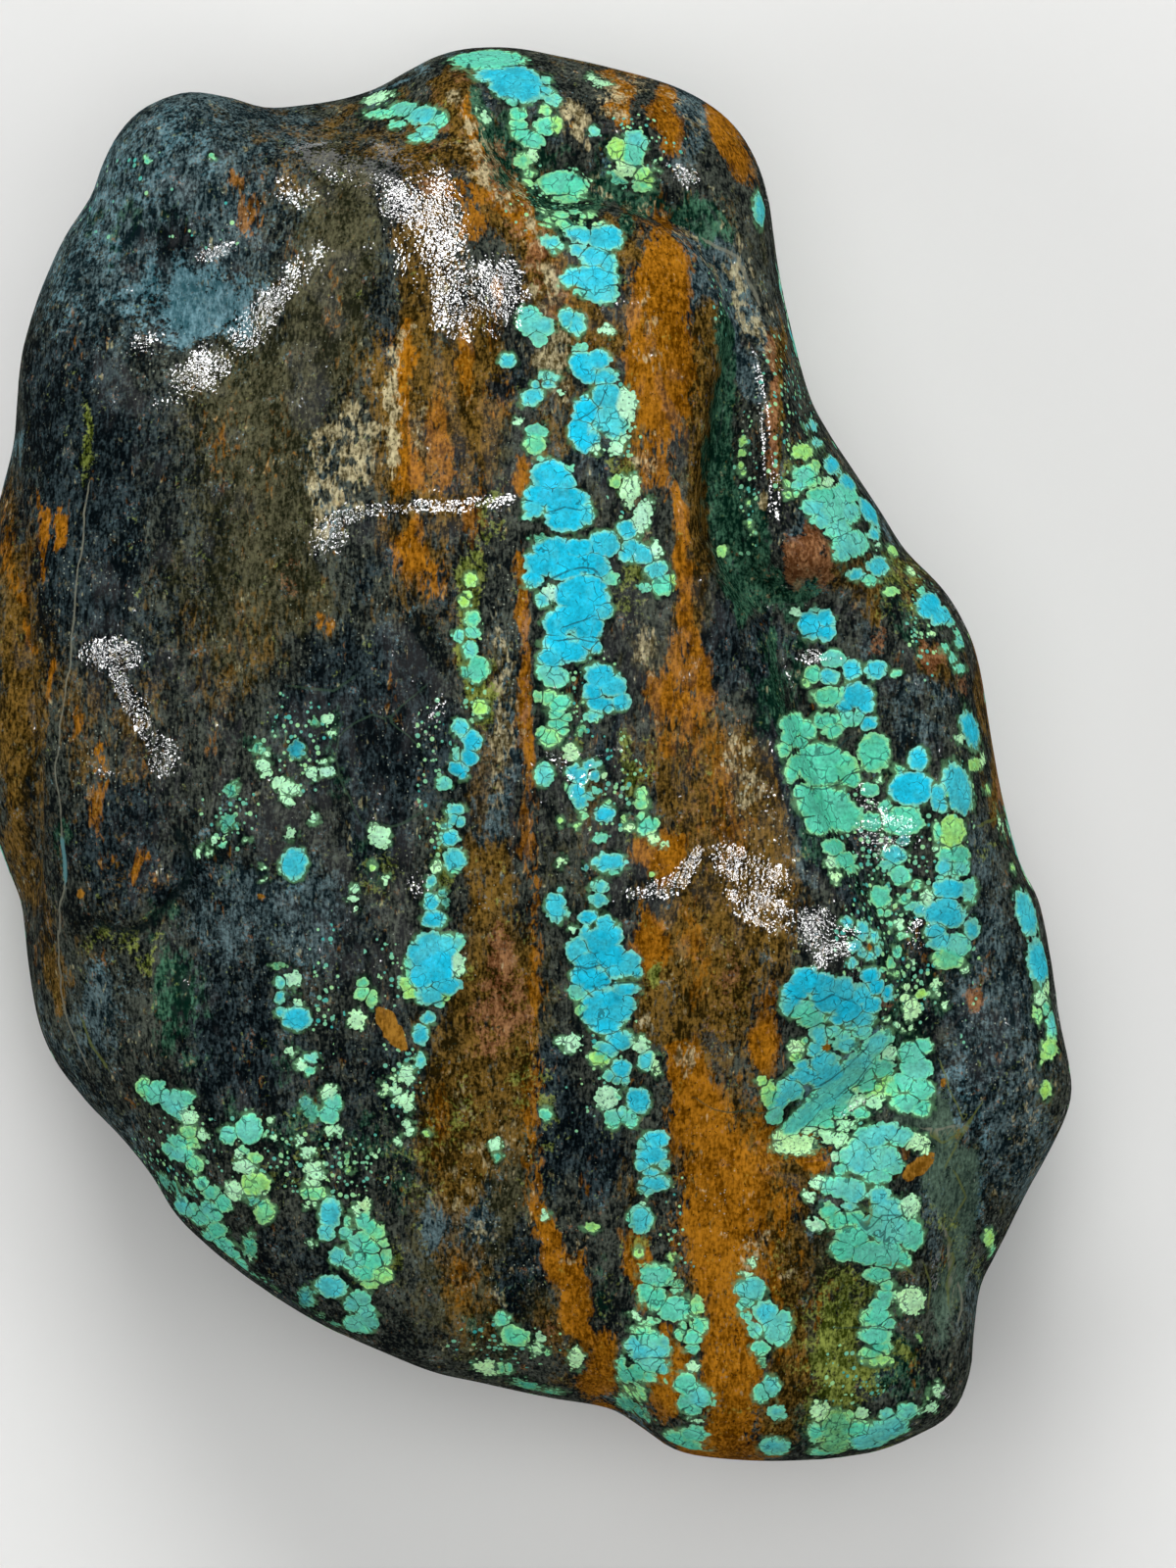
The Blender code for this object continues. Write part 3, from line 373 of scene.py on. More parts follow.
# ---- turquoise nodules -------------------------------------------------------------------------------------------
# Each nodule is a rounded lump: u, v, half-width, half-height, (turn in degrees r), hue from 0 blue through .5 green to
# 1 lime; p is paler, d is dimmer.
NODULES = """
498,60,34,10,.45; 475,60,12,9,.45; 525,58,8,8,.4; 527,86,26,18,10r,0; 507,77,20,7,0; 524,100,9,8,.25; 556,82,6,5,.2;
556,92,8,6,.1; 565,102,7,6,.15; 529,117,8,7,.55; 530,128,9,7,.5; 532,137,10,7,.5; 543,143,12,8,10r,.5;
557,113,6,6,.65; 557,129,9,9,.5; 567,127,6,8,.8; 534,164,9,7,.6; 543,158,6,7,.6p; 542,178,7,4,.6; 542,186,6,3,.6;
585,174,6,4,.45; 572,187,20,11,.5; 585,189,12,10,.55; 580,203,14,5,.55; 558,190,7,4,.5; 597,186,5,5,.5;
601,183,4,4,.5p; 553,213,5,3,.7p; 572,219,8,5,.55; 586,215,7,4,.5; 563,225,9,3.5,.6; 575,228,9,5,.6; 582,226,6,3,.6;
597,222,5,4,.6; 604,220,6,4,.6; 610,229,8,3,.8p; 595,228,4,3,.6; 557,229,7,2.5,.6; 592,240,15,8,10r,0;
617,243,16,12,0; 590,255,9,6,0; 608,262,14,10,0; 620,270,8,12,.05; 585,283,13,8,-20r,.05; 607,285,20,13,0;
620,297,10,8,.15; 613,300,16,9,.1; 595,297,8,5,.2; 562,247,11,6,15r,.1; 566,256,4,3,.2; 604,79,5,4,.5p;
613,84,8,4,.5p; 606,135,6,6,.2; 648,143,10,9,.2; 655,148,6,6,.2; 629,152,9,10,.9; 645,158,11,13,.35;
640,172,12,8,.75p; 655,178,10,7,.8; 660,182,7,6,.8; 655,190,9,6,.6; 630,182,10,5,40r,.3d; 667,164,4,4,.4p;
671,173,3,3,.5p; 496,120,5,7,-40r,.4p; 489,111,3,4,.6p; 413,112,14,7,.25; 432,118,16,9,.15; 449,122,7,8,.3;
436,135,10,8,.2; 405,127,8,4,.3; 425,140,8,5,.2; 392,116,18,4,.45; 385,100,14,5,-20r,.4p; 779,213,10,17,.15;
151,163,4,4,.5; 218,159,4,4,.5;
541,328,12,13,.25; 554,333,11,9,.2; 549,345,9,8,.3; 537,320,8,7,.2; 579,325,8,9,.1; 589,331,8,11,.1;
619,337,7,5,.3p; 518,368,8,7,.15; 592,355,8,5,.25; 594,372,12,12,.05; 610,367,12,9,.05; 601,383,10,8,.05;
617,385,13,8,.1; 546,394,5,5,.15; 554,384,6,5,.15; 563,385,8,5,.15; 560,392,8,5,.15; 543,405,12,8,-30r,.15;
571,400,3,2,.3p; 597,407,5,5,.05; 598,420,13,11,0; 591,440,11,12,0; 596,452,9,9,0; 605,447,7,7,.05; 620,405,14,13,.1;
636,413,12,15,.3p; 622,428,16,14,.2; 628,440,12,8,.2; 643,420,6,12,.35p; 610,457,6,5,.35p; 629,459,7,7,.35p;
637,447,6,5,.4p; 547,440,10,7,.35; 546,453,10,9,.6; 553,469,6,3,.3; 562,485,18,14,0; 577,492,9,9,.1; 580,478,6,4,.35;
553,507,16,11,0; 575,512,20,14,0; 590,510,10,8,.05; 596,525,9,10,.1; 577,530,18,11,0; 545,517,11,9,.15;
540,525,7,5,.2; 529,430,5,4,.4p; 550,548,8,4,.4d; 629,492,6,6,.7; 643,500,9,14,.65p; 640,540,9,9,.1;
655,527,8,16,15r,.25p; 617,555,14,12,.05; 644,560,9,8,.1; 640,567,8,6,.1; 655,565,13,9,20r,.1; 668,562,6,10,.3p;
670,582,11,9,.2; 676,597,10,10,.5; 660,600,6,4,.3; 655,599,5,4,.3; 685,595,4,8,.9;
565,562,18,12,0; 590,560,18,9,0; 552,575,15,12,0; 575,577,20,13,0; 602,575,17,11,0; 612,580,10,9,.1; 545,590,10,8,0;
622,590,8,7,.45; 540,595,6,5,.2; 597,597,20,10,0; 580,607,14,12,0; 604,612,16,13,0; 615,622,9,10,.1; 563,606,9,9,.1p;
555,612,8,7,.15; 590,627,22,13,0; 570,637,14,12,0; 600,640,14,12,0; 570,655,15,8,0; 580,665,18,10,0; 563,672,12,10,.05;
600,655,10,8,.05; 608,660,6,6,.1; 566,690,12,10,.3; 557,685,8,9,.35; 612,690,14,11,.05; 625,700,13,11,.1;
605,705,9,10,.05; 612,718,13,8,.05; 634,716,9,8,.05; 620,722,8,5,.1; 604,731,7,5,.25; 550,711,6,6,.55; 560,712,9,7,.6;
570,718,9,8,.5; 577,715,6,6,.45; 567,729,9,5,.5; 577,732,6,5,.5; 570,740,10,6,.45; 575,745,7,5,.5; 560,752,11,8,.65;
552,748,6,6,.6; 593,745,5,5,.6d; 583,768,7,9,.75p; 556,790,9,11,.3; 585,787,7,8,.1; 592,792,8,8,.1; 598,782,5,5,.1;
604,780,7,5,.1; 606,792,7,5,.05; 616,792,4,4,.7p; 588,808,9,8,.1; 592,818,7,7,.1; 601,812,6,5,.2; 607,807,4,4,.3;
578,804,3,4,.6; 617,830,10,8,.05; 609,824,4,4,.2; 621,820,3,3,.6; 572,838,3,4,.8; 588,843,5,3,.7; 596,832,5,4,.5;
601,845,3,3,.8p; 613,855,8,5,.35; 642,845,6,5,.8p; 637,835,4,4,.7; 655,812,5,8,.65; 654,820,8,6,.65; 655,835,3,8,.6;
660,843,9,8,.45; 668,840,6,5,.6; 668,855,6,5,.9p; 678,862,4,3,.9p; 622,880,15,9,.1; 625,888,8,5,.4; 573,880,6,5,.7p;
665,893,3,3,.8; 597,886,3,4,.1d; 571,908,4,4,.1; 567,925,9,14,.1; 576,930,5,6,.15; 607,905,5,6,.2; 613,905,8,6,.2;
610,918,9,7,.15; 600,936,9,7,.05; 585,949,4,4,.3p; 583,960,4,4,.2; 596,948,5,5,.15; 600,955,9,6,.05; 618,945,9,10,.1;
612,960,14,13,0; 625,955,10,10,.05; 590,967,10,9,.1; 585,972,8,8,.1; 600,980,14,9,.05; 622,975,16,12,0;
640,983,12,12,.1; 648,990,7,8,.1; 598,998,14,13,0; 612,1000,10,10,0; 590,1010,9,9,.35; 628,990,10,8,.1;
636,1010,14,7,.05; 620,1020,18,10,0; 607,1030,16,14,.1; 630,1030,14,13,.05; 595,1030,8,8,.7; 618,1045,16,9,.05;
640,1025,8,10,.1; 632,1062,13,9,.1; 620,1070,12,8,.2; 612,1079,9,8,.85; 572,1061,5,5,.4p; 583,1065,9,8,.4p;
634,1090,10,9,.1; 622,1098,6,6,.3; 630,1102,6,5,.3; 638,1103,5,5,.2; 654,1067,7,9,.5p; 660,1082,9,9,.2;
668,1085,5,8,.75p; 670,1093,4,5,.8p; 651,1123,11,12,.05; 620,1121,11,11,.4p; 630,1119,4,5,.5; 625,1140,8,10,.4;
634,1136,7,6,.3; 643,1141,8,8,.35; 557,1137,6,6,.45; 505,1167,6,7,.45p; 508,1180,4,5,.5d;
480,592,6,7,.9; 478,607,5,5,.9; 474,613,6,6,.95; 482,632,7,8,.55; 468,648,6,6,.3; 482,645,7,6,.4; 480,663,7,9,.3;
487,683,10,12,.5; 475,687,5,6,.4d; 490,722,7,7,.9; 490,731,5,4,.5; 470,742,8,9,.2; 482,757,9,11,.05; 479,772,8,9,.05;
466,770,4,7,.2; 467,785,9,7,0; 472,791,6,5,.05; 453,800,7,7,.3; 465,826,9,6,.15; 469,838,5,6,.2; 463,835,6,7,.2;
456,843,5,4,.2; 459,855,9,8,.1; 464,877,10,12,.15; 464,888,6,4,.5; 445,885,5,6,.7p; 440,900,5,7,.2; 452,912,4,4,.3d;
440,920,8,8,.1; 455,922,4,5,.3d; 443,938,11,8,.05; 440,965,16,12,.1; 455,965,12,11,.15; 467,962,7,8,.3; 430,975,14,12,.1;
448,985,20,18,0; 432,995,14,12,.05; 465,985,8,12,.45p; 455,1005,14,10,.05; 440,1015,14,9,.15; 420,982,6,10,.4;
418,993,5,7,.45; 415,1003,6,8,.8; 419,1013,6,6,.85; 455,1019,4,4,.9; 447,1023,8,4,.2; 437,1039,7,6,.15;
429,1057,7,10,.1; 429,1082,5,8,.15; 415,1097,7,9,.5p; 404,1112,6,5,.5p; 391,1111,5,6,.7p; 400,1100,4,3,.6p;
411,1122,8,6,.55p; 417,1130,5,5,.5p; 414,1148,6,5,.5p; 419,1154,5,5,.5p; 407,1165,4,4,.5p; 436,1158,3,4,.9;
384,1178,5,4,.6p; 354,1180,4,4,.6d; 357,1193,4,3,.8d; 413,1203,2,2,.5p;
669,1163,12,9,.05; 657,1168,7,7,.25; 665,1178,14,10,0; 655,1188,7,7,.15; 677,1187,6,6,.15; 664,1196,9,5,.05;
668,1207,13,8,.05; 660,1214,7,6,.1; 656,1226,4,4,.3p; 654,1244,11,13,.05; 644,1243,4,6,.5; 652,1279,4,6,.8;
654,1291,4,3,.7; 687,1281,4,6,.8; 669,1301,15,10,.3; 660,1320,8,10,.35; 670,1325,10,11,.35; 689,1310,5,4,.35d;
690,1318,5,3,.35; 688,1335,15,11,-20r,.3; 700,1332,6,9,.35; 711,1332,7,9,.7; 650,1343,6,5,.5p; 667,1348,7,5,.35;
655,1350,5,4,.4; 655,1358,11,5,.4; 662,1368,14,9,.45; 648,1372,9,9,.1; 668,1378,14,9,.1; 655,1380,14,8,.05;
676,1370,7,9,.15; 663,1392,15,8,.25; 675,1395,7,7,.1; 635,1393,6,8,.45; 640,1403,9,8,.5; 650,1400,9,9,.55;
660,1405,10,6,.5; 677,1410,4,4,.6; 641,1417,6,4,.7; 654,1423,7,6,.65; 632,1425,3,3,.5; 640,1435,10,8,.3d;
650,1443,10,8,.3d; 660,1450,6,4,.35d; 697,1353,5,5,.4; 705,1349,4,4,.4; 714,1352,7,8,.35; 696,1362,6,6,.4;
706,1365,9,8,.3; 707,1375,8,6,.25; 707,1395,6,6,.4p; 700,1412,11,10,.3; 712,1425,13,11,.15; 700,1430,8,9,.3;
707,1438,10,6,.25; 727,1432,4,4,.3; 727,1423,3,3,.3; 710,1448,8,4,.3p; 708,1463,13,8,.3; 690,1468,14,7,.35;
705,1475,10,7,.35; 718,1482,8,4,.3; 767,1289,4,6,.35p; 763,1302,6,4,.3p; 757,1316,7,9,.1; 768,1315,12,11,.15;
762,1328,8,6,.2; 761,1343,6,5,.25; 755,1333,4,5,.2; 782,1340,12,11,.05; 772,1343,4,5,.1; 797,1345,9,8,.2;
793,1357,13,14,.2; 771,1357,7,8,.15; 776,1376,9,7,.3; 778,1390,4,6,.4d; 786,1415,9,10,.15; 777,1421,8,9,.3;
793,1441,9,7,.15; 790,1476,14,8,.15; 556,1240,5,6,.5p; 603,1252,7,5,.8; 512,1346,8,6,.45; 525,1363,14,9,15r,.6;
551,1364,6,5,.5p; 547,1376,5,6,.6p; 541,1376,3,3,.6; 558,1380,3,3,.6; 497,1395,12,7,10r,.8p; 509,1396,7,6,.6;
518,1396,5,6,.5; 537,1413,12,5,15r,.35d; 562,1421,9,3,.5d; 588,1385,7,11,.75p;
818,402,5,8,.3p; 833,432,12,10,30r,.05; 836,451,7,6,.1; 849,474,8,9,.1; 867,492,10,9,30r,.1; 892,520,11,19,-35r,.1;
892,545,6,6,.15; 896,557,3,3,.3p; 819,461,10,7,.85; 832,475,5,5,.7; 821,484,11,8,.45; 815,495,9,5,.3; 828,492,6,6,.6;
835,490,4,4,.6; 844,492,6,5,.6p; 804,494,4,4,.7; 805,505,4,4,.7; 813,504,3,3,.6; 840,507,16,9,.5; 860,505,14,10,.45;
832,517,13,9,.3; 850,520,18,12,.4; 865,522,12,10,.35; 840,530,12,8,.3; 855,540,12,9,.35; 868,555,16,12,.35;
860,565,9,7,.3; 895,578,10,9,.15; 873,586,9,6,.15; 888,592,8,5,.45; 913,560,6,6,.8; 931,582,5,5,.85p; 910,604,7,5,.7;
758,450,4,5,.85; 757,462,4,4,.8; 756,475,3,5,.85; 758,482,3,3,.8; 765,512,2,3,.8; 765,535,3,3,.8; 769,543,2,2,.8;
737,562,5,6,.75; 948,618,11,12,.05; 960,628,12,9,.1; 970,633,6,6,.25; 940,602,4,4,.3; 951,646,3,3,.8p; 976,645,4,4,.4;
979,655,5,6,.3; 964,661,4,4,.4; 972,672,3,5,.3; 980,682,5,4,.3;
812,625,5,5,.2p; 831,622,4,3,.2; 826,637,11,11,.05; 842,632,9,9,.05; 842,645,9,8,.05; 828,648,8,5,.1; 850,672,13,8,.35;
829,688,8,9,.55; 823,695,4,5,.7; 846,690,9,8,.15; 869,683,9,9,.1; 894,683,10,9,.1; 914,688,5,4,.45; 845,711,14,9,.55;
859,705,4,4,.5; 875,710,14,12,.05; 862,720,8,7,.1; 883,720,8,8,.05; 886,738,8,7,.05; 865,733,8,8,.4; 875,733,7,7,.4;
850,735,10,6,.5; 810,740,12,11,.5; 806,752,9,8,.5; 800,765,6,8,.55; 815,757,9,7,.5; 822,745,10,9,.5; 840,735,10,7,.45;
850,745,10,7,.5; 835,780,28,20,.5; 860,782,14,12,.6; 812,780,8,10,.55; 808,790,6,8,.55; 868,795,9,8,.55;
840,820,25,16,.5; 855,830,24,15,20r,.5; 835,840,14,10,.5; 890,839,11,8,.45; 855,815,12,8,.5; 820,808,9,8,.5;
892,768,15,18,.55; 896,796,4,3,.5p; 917,784,5,4,.5; 887,806,8,7,.45; 888,818,4,3,.5p; 903,823,6,6,.4; 930,805,20,16,0;
937,775,9,11,.05; 957,810,8,9,.1; 955,820,6,8,.1; 962,822,6,7,.15; 921,838,20,13,.5; 977,805,12,24,-15r,.15;
968,808,4,10,.8; 990,745,8,17,-15r,.05; 980,753,5,5,.6p; 994,780,6,6,.85; 1003,775,3,6,.8p; 1008,805,3,4,.7;
971,848,12,14,.85; 958,848,5,9,.5; 955,867,4,4,.45p; 963,885,8,8,.15; 978,872,10,9,.5; 980,885,8,8,.3; 965,872,9,8,.5;
850,865,11,8,.5; 862,878,10,8,.5; 868,886,6,5,.5; 848,880,6,6,.55p; 853,895,5,6,.8p; 913,872,12,9,.2; 905,882,8,5,.3;
918,893,9,9,.45; 922,858,7,6,.15d; 898,915,9,11,.5; 923,918,6,5,.5; 935,903,6,5,.5; 947,915,6,8,.4p; 968,907,15,10,.1;
989,908,7,11,.35; 960,895,4,4,.3; 975,897,5,4,.3; 953,930,10,10,.1; 965,925,12,10,.1; 970,935,14,10,.1; 940,928,8,7,.2;
930,925,6,5,.3; 991,947,7,10,.15; 898,930,4,4,.5; 906,932,4,3,.5; 918,943,5,6,.5p; 928,943,3,4,.5p; 908,945,3,4,.5;
922,955,6,4,.5; 864,941,6,6,.15; 880,948,6,8,.15; 873,965,6,7,.1; 880,955,6,5,.15; 892,955,5,6,.15; 880,972,5,5,.15;
888,977,6,5,.15; 896,970,4,5,.15; 869,983,5,5,.1; 915,971,5,6,.45; 931,980,4,3,.55p; 908,983,5,6,.6; 913,994,5,4,.6;
903,988,3,3,.6; 955,950,10,8,.1; 960,960,12,9,.2; 975,965,13,12,.35; 968,978,14,10,.65; 984,990,5,4,.55p;
940,1014,6,5,.95; 955,1003,6,4,.7p; 958,1014,7,4,.6p; 964,1025,4,4,.6p; 925,1008,4,6,.8p; 924,1018,4,5,.8p;
930,1030,8,10,.8p; 905,1040,3,2,.7p; 915,1046,3,3,.6p; 922,1052,2,2,.8p; 930,1049,3,2,.6p; 901,1052,2,3,.7p;
822,1000,14,12,0; 812,1012,12,10,0; 805,1025,8,10,.2; 818,1030,14,9,.5; 828,1040,14,8,.5; 840,1005,12,12,.05;
845,1020,16,12,.05; 860,1010,12,12,.15; 865,1030,14,12,.05; 878,1015,10,10,.1; 888,995,9,8,0; 893,1007,9,8,0;
905,1013,5,8,0; 888,1025,10,9,.1; 880,1040,12,8,.15; 868,1045,8,5,.2; 855,1040,8,6,.1; 835,1055,8,12,.2;
832,1070,7,10,.2; 838,1085,11,10,.15; 850,1052,9,6,.3; 860,1058,8,6,.3; 848,1095,14,10,.15; 838,1105,10,7,.15;
812,1068,7,7,.75p; 812,1078,6,5,.8; 818,1087,8,6,.15; 808,1100,6,5,.1; 820,1062,4,4,.7; 778,1103,6,5,.8;
785,1118,7,14,.75; 798,1112,8,6,.15; 795,1122,10,9,.2; 790,1138,8,9,.35; 812,1168,21,9,.95p; 796,1160,8,6,.95p;
831,1168,5,5,.9p; 832,1157,5,4,.8p; 845,1160,9,7,.6p; 857,1163,9,7,.6p; 930,1075,13,11,.4; 942,1068,9,8,.5;
935,1090,15,11,.35; 922,1105,12,9,.45; 940,1112,12,10,.45; 912,1110,9,8,.65; 925,1125,14,9,.45; 940,1130,10,8,.5;
905,1103,6,7,.8; 895,1108,6,6,.8; 888,1115,7,6,.8; 870,1113,7,5,.8p; 890,1160,16,11,.25; 905,1155,14,9,.25;
920,1160,12,9,.3; 935,1165,12,8,.7p; 945,1172,6,5,.75p; 875,1170,10,9,.3; 865,1180,9,9,.3; 880,1185,16,12,.2;
900,1182,16,12,.25; 912,1190,10,8,.3; 895,1200,14,7,.3; 858,1193,7,6,.3; 853,1180,5,5,.5p; 835,1207,8,7,.4p;
845,1210,9,8,.3; 858,1212,12,10,.2; 870,1215,12,11,.2; 825,1220,6,7,.45p; 845,1235,9,8,.55; 838,1232,4,5,.4;
868,1231,8,5,.05; 855,1245,12,8,.55; 872,1243,12,8,.55; 832,1250,10,6,.2p; 897,1220,10,9,.15; 905,1235,15,12,.2;
928,1230,9,10,.55p; 890,1250,15,10,.25; 910,1255,20,14,.2; 930,1260,11,14,.3; 870,1262,16,10,.35; 860,1275,12,11,.35;
885,1278,16,11,.3; 905,1280,16,12,.3; 920,1285,10,8,.35; 895,1300,12,8,.5; 905,1312,7,6,.35; 903,1322,8,7,.3;
898,1332,9,8,.3; 895,1343,12,9,.5; 905,1350,8,6,.45; 885,1345,7,7,.6; 893,1363,14,9,.3; 897,1375,12,7,.4;
890,1380,12,7,.65; 895,1388,14,5,.75; 930,1327,12,12,.75p; 937,1366,4,4,.8d; 948,1421,3,5,.9; 957,1418,6,7,.6p;
950,1436,6,6,.5p; 837,1440,9,10,.75p; 853,1455,14,16,.7d; 852,1472,12,12,.7d; 832,1462,7,10,.5; 868,1443,6,5,.7;
878,1442,8,6,.6p; 875,1458,12,9,.4; 882,1470,14,9,.15; 898,1462,14,10,.15; 912,1455,14,10,.15; 926,1440,9,8,.2;
905,1443,7,6,.15; 895,1475,12,5,.15; 839,1482,10,5,.3; 1047,932,9,22,-15r,.15; 1024,842,4,13,-15r,.6p; 1035,884,3,4,.9;
1060,982,10,20,-10r,.1; 1068,1005,3,8,.8p; 1062,1020,6,7,.6p; 1059,1035,5,8,.7; 1066,1028,5,8,.5; 1074,1045,6,12,.3;
1071,1070,8,9,.8; 1062,1085,3,4,.8; 1067,1112,5,9,.95; 1009,1264,5,8,.9; 1014,1280,4,10,.4;
303,765,8,9,.1d; 269,781,7,6,.5p; 272,790,4,4,.5p; 273,768,3,3,.5p; 262,763,5,6,.4d; 285,798,7,6,.5p; 292,803,8,7,.5p;
300,807,6,5,.5p; 294,817,7,5,.5p; 318,790,6,7,.45p; 333,787,9,5,.1p; 332,777,4,3,.5p; 335,734,7,5,.5p; 338,747,3,3,.5p;
322,736,5,4,.5d; 321,835,4,6,.45p; 296,851,6,5,.5p; 300,881,12,14,.1; 287,887,3,4,.5p; 387,853,10,11,-30r,.55p;
380,884,3,5,.8; 394,898,4,5,.6p; 362,907,4,5,.45p; 360,918,4,3,.5p; 364,927,3,3,.5p; 217,858,4,4,.4p; 230,842,5,7,.4d;
226,862,4,3,.4; 213,871,3,3,.5p; 202,870,2,4,.5p; 231,853,2,2,.5p; 252,857,3,2,.5p; 266,886,3,2,.5p; 268,898,3,2,.5p;
237,805,6,7,.45d; 233,838,8,6,.4d; 286,985,6,4,.6d; 299,998,7,8,.3p; 286,1003,5,6,.2; 286,1018,5,7,.15;
286,1032,5,5,.15; 305,1022,5,5,.5p; 303,1039,13,11,.1; 370,1003,6,5,.55; 370,1014,8,7,.6; 379,1019,6,8,.65;
364,1041,8,9,.65p; 297,1073,5,4,.5p; 318,1080,7,5,.2; 308,1088,6,6,.5p; 315,1092,6,5,.45; 147,1109,8,8,.65;
157,1115,9,10,.4; 163,1108,7,5,.4; 170,1120,8,8,.35; 178,1125,13,11,.35; 190,1120,8,7,.4; 183,1135,7,6,.35;
192,1140,8,7,.5p; 193,1155,9,7,.7; 207,1158,6,5,.5p; 195,1165,9,6,.65; 183,1165,10,7,.35; 173,1172,7,6,.35;
183,1177,10,8,.3; 192,1178,7,6,.35; 199,1188,8,8,.6; 233,1157,8,9,.35; 254,1152,12,13,.35; 247,1164,3,3,.5p;
270,1157,3,3,.5; 275,1143,4,3,.5p; 281,1160,3,3,.5p; 244,1178,5,6,.4p; 250,1190,10,7,.35p; 260,1182,8,6,.7;
247,1173,5,4,.5; 260,1208,14,10,.8; 270,1217,5,3,.6p; 239,1215,9,9,.6p; 258,1225,10,4,.2d; 270,1236,9,11,.7;
255,1272,6,12,.5d; 255,1283,3,3,.5p; 306,1163,5,6,.4p; 314,1175,6,6,.45p; 320,1192,9,7,.6p; 323,1198,9,6,.5p;
321,1206,8,5,.55p; 322,1217,10,7,.7; 312,1218,5,6,.6; 313,1229,4,4,.6p; 322,1229,3,3,.6p; 337,1238,10,14,.05;
333,1257,8,8,.1; 318,1269,4,3,.5p; 372,1228,6,6,.85p; 363,1234,5,5,.6p; 371,1245,8,9,.35; 378,1252,8,8,.55;
354,1247,4,5,.4; 353,1258,7,6,.2; 363,1268,7,8,.2; 372,1262,7,7,.4; 385,1258,7,9,.65; 378,1272,10,8,.5; 390,1268,6,6,.6;
345,1282,8,9,.1; 357,1288,8,7,.2; 368,1285,9,8,.25; 380,1287,11,9,.4; 393,1283,6,9,.6; 390,1300,9,8,.75;
375,1300,10,8,.4; 378,1310,9,5,.75; 365,1297,8,6,.3; 338,1313,14,10,10r,.05; 368,1325,10,8,.2; 360,1330,8,8,.15;
373,1338,8,8,.2; 378,1348,9,8,.2; 363,1350,11,8,.2; 372,1355,9,5,.25; 312,1324,8,9,.15d; 322,1343,6,3,.3d;
340,1351,5,3,.3d; 312,1125,6,8,.3d; 318,1135,7,8,.4d; 335,1115,8,7,.55p; 340,1125,8,9,.45; 336,1137,9,9,.4;
337,1153,6,5,.5p; 345,1152,5,5,.5p; 167,1206,9,5,40r,.2d; 180,1213,4,5,.3d; 195,1215,4,4,.3d; 206,1208,7,6,.35;
216,1217,8,7,.35; 228,1228,8,9,.4; 212,1233,8,8,.2; 185,1232,8,10,40r,.15; 195,1235,7,7,.25; 205,1243,9,7,.25;
218,1240,8,7,.3; 222,1255,9,8,.35; 212,1262,9,6,.25; 228,1270,12,7,30r,.3; 235,1278,10,6,35r,.25; 245,1290,10,5,35r,.25;
262,1305,12,3,30r,.3d;
822,1138,30,9,-40r,.26; 846,1117,26,12,-42r,.30; 872,1092,24,12,-44r,.32; 894,1066,18,9,-40r,.30; 836,1140,16,8,-30r,.36;
860,1122,14,8,-40r,.38; 884,1098,12,7,-50r,.40;
806,1112,13,10,.22; 822,1097,13,9,.15; 842,1081,13,8,.2; 862,1065,12,8,.25; 880,1052,10,7,.3; 900,1090,11,9,.42;
886,1108,9,8,.4; 872,1122,9,7,.5p; 857,1134,9,7,.45; 842,1147,10,6,.5; 826,1153,10,5,.55p; 907,1074,8,8,.5p;
893,1124,8,7,.5p; 879,1136,8,6,.45; 862,1148,8,5,.5p;
"""

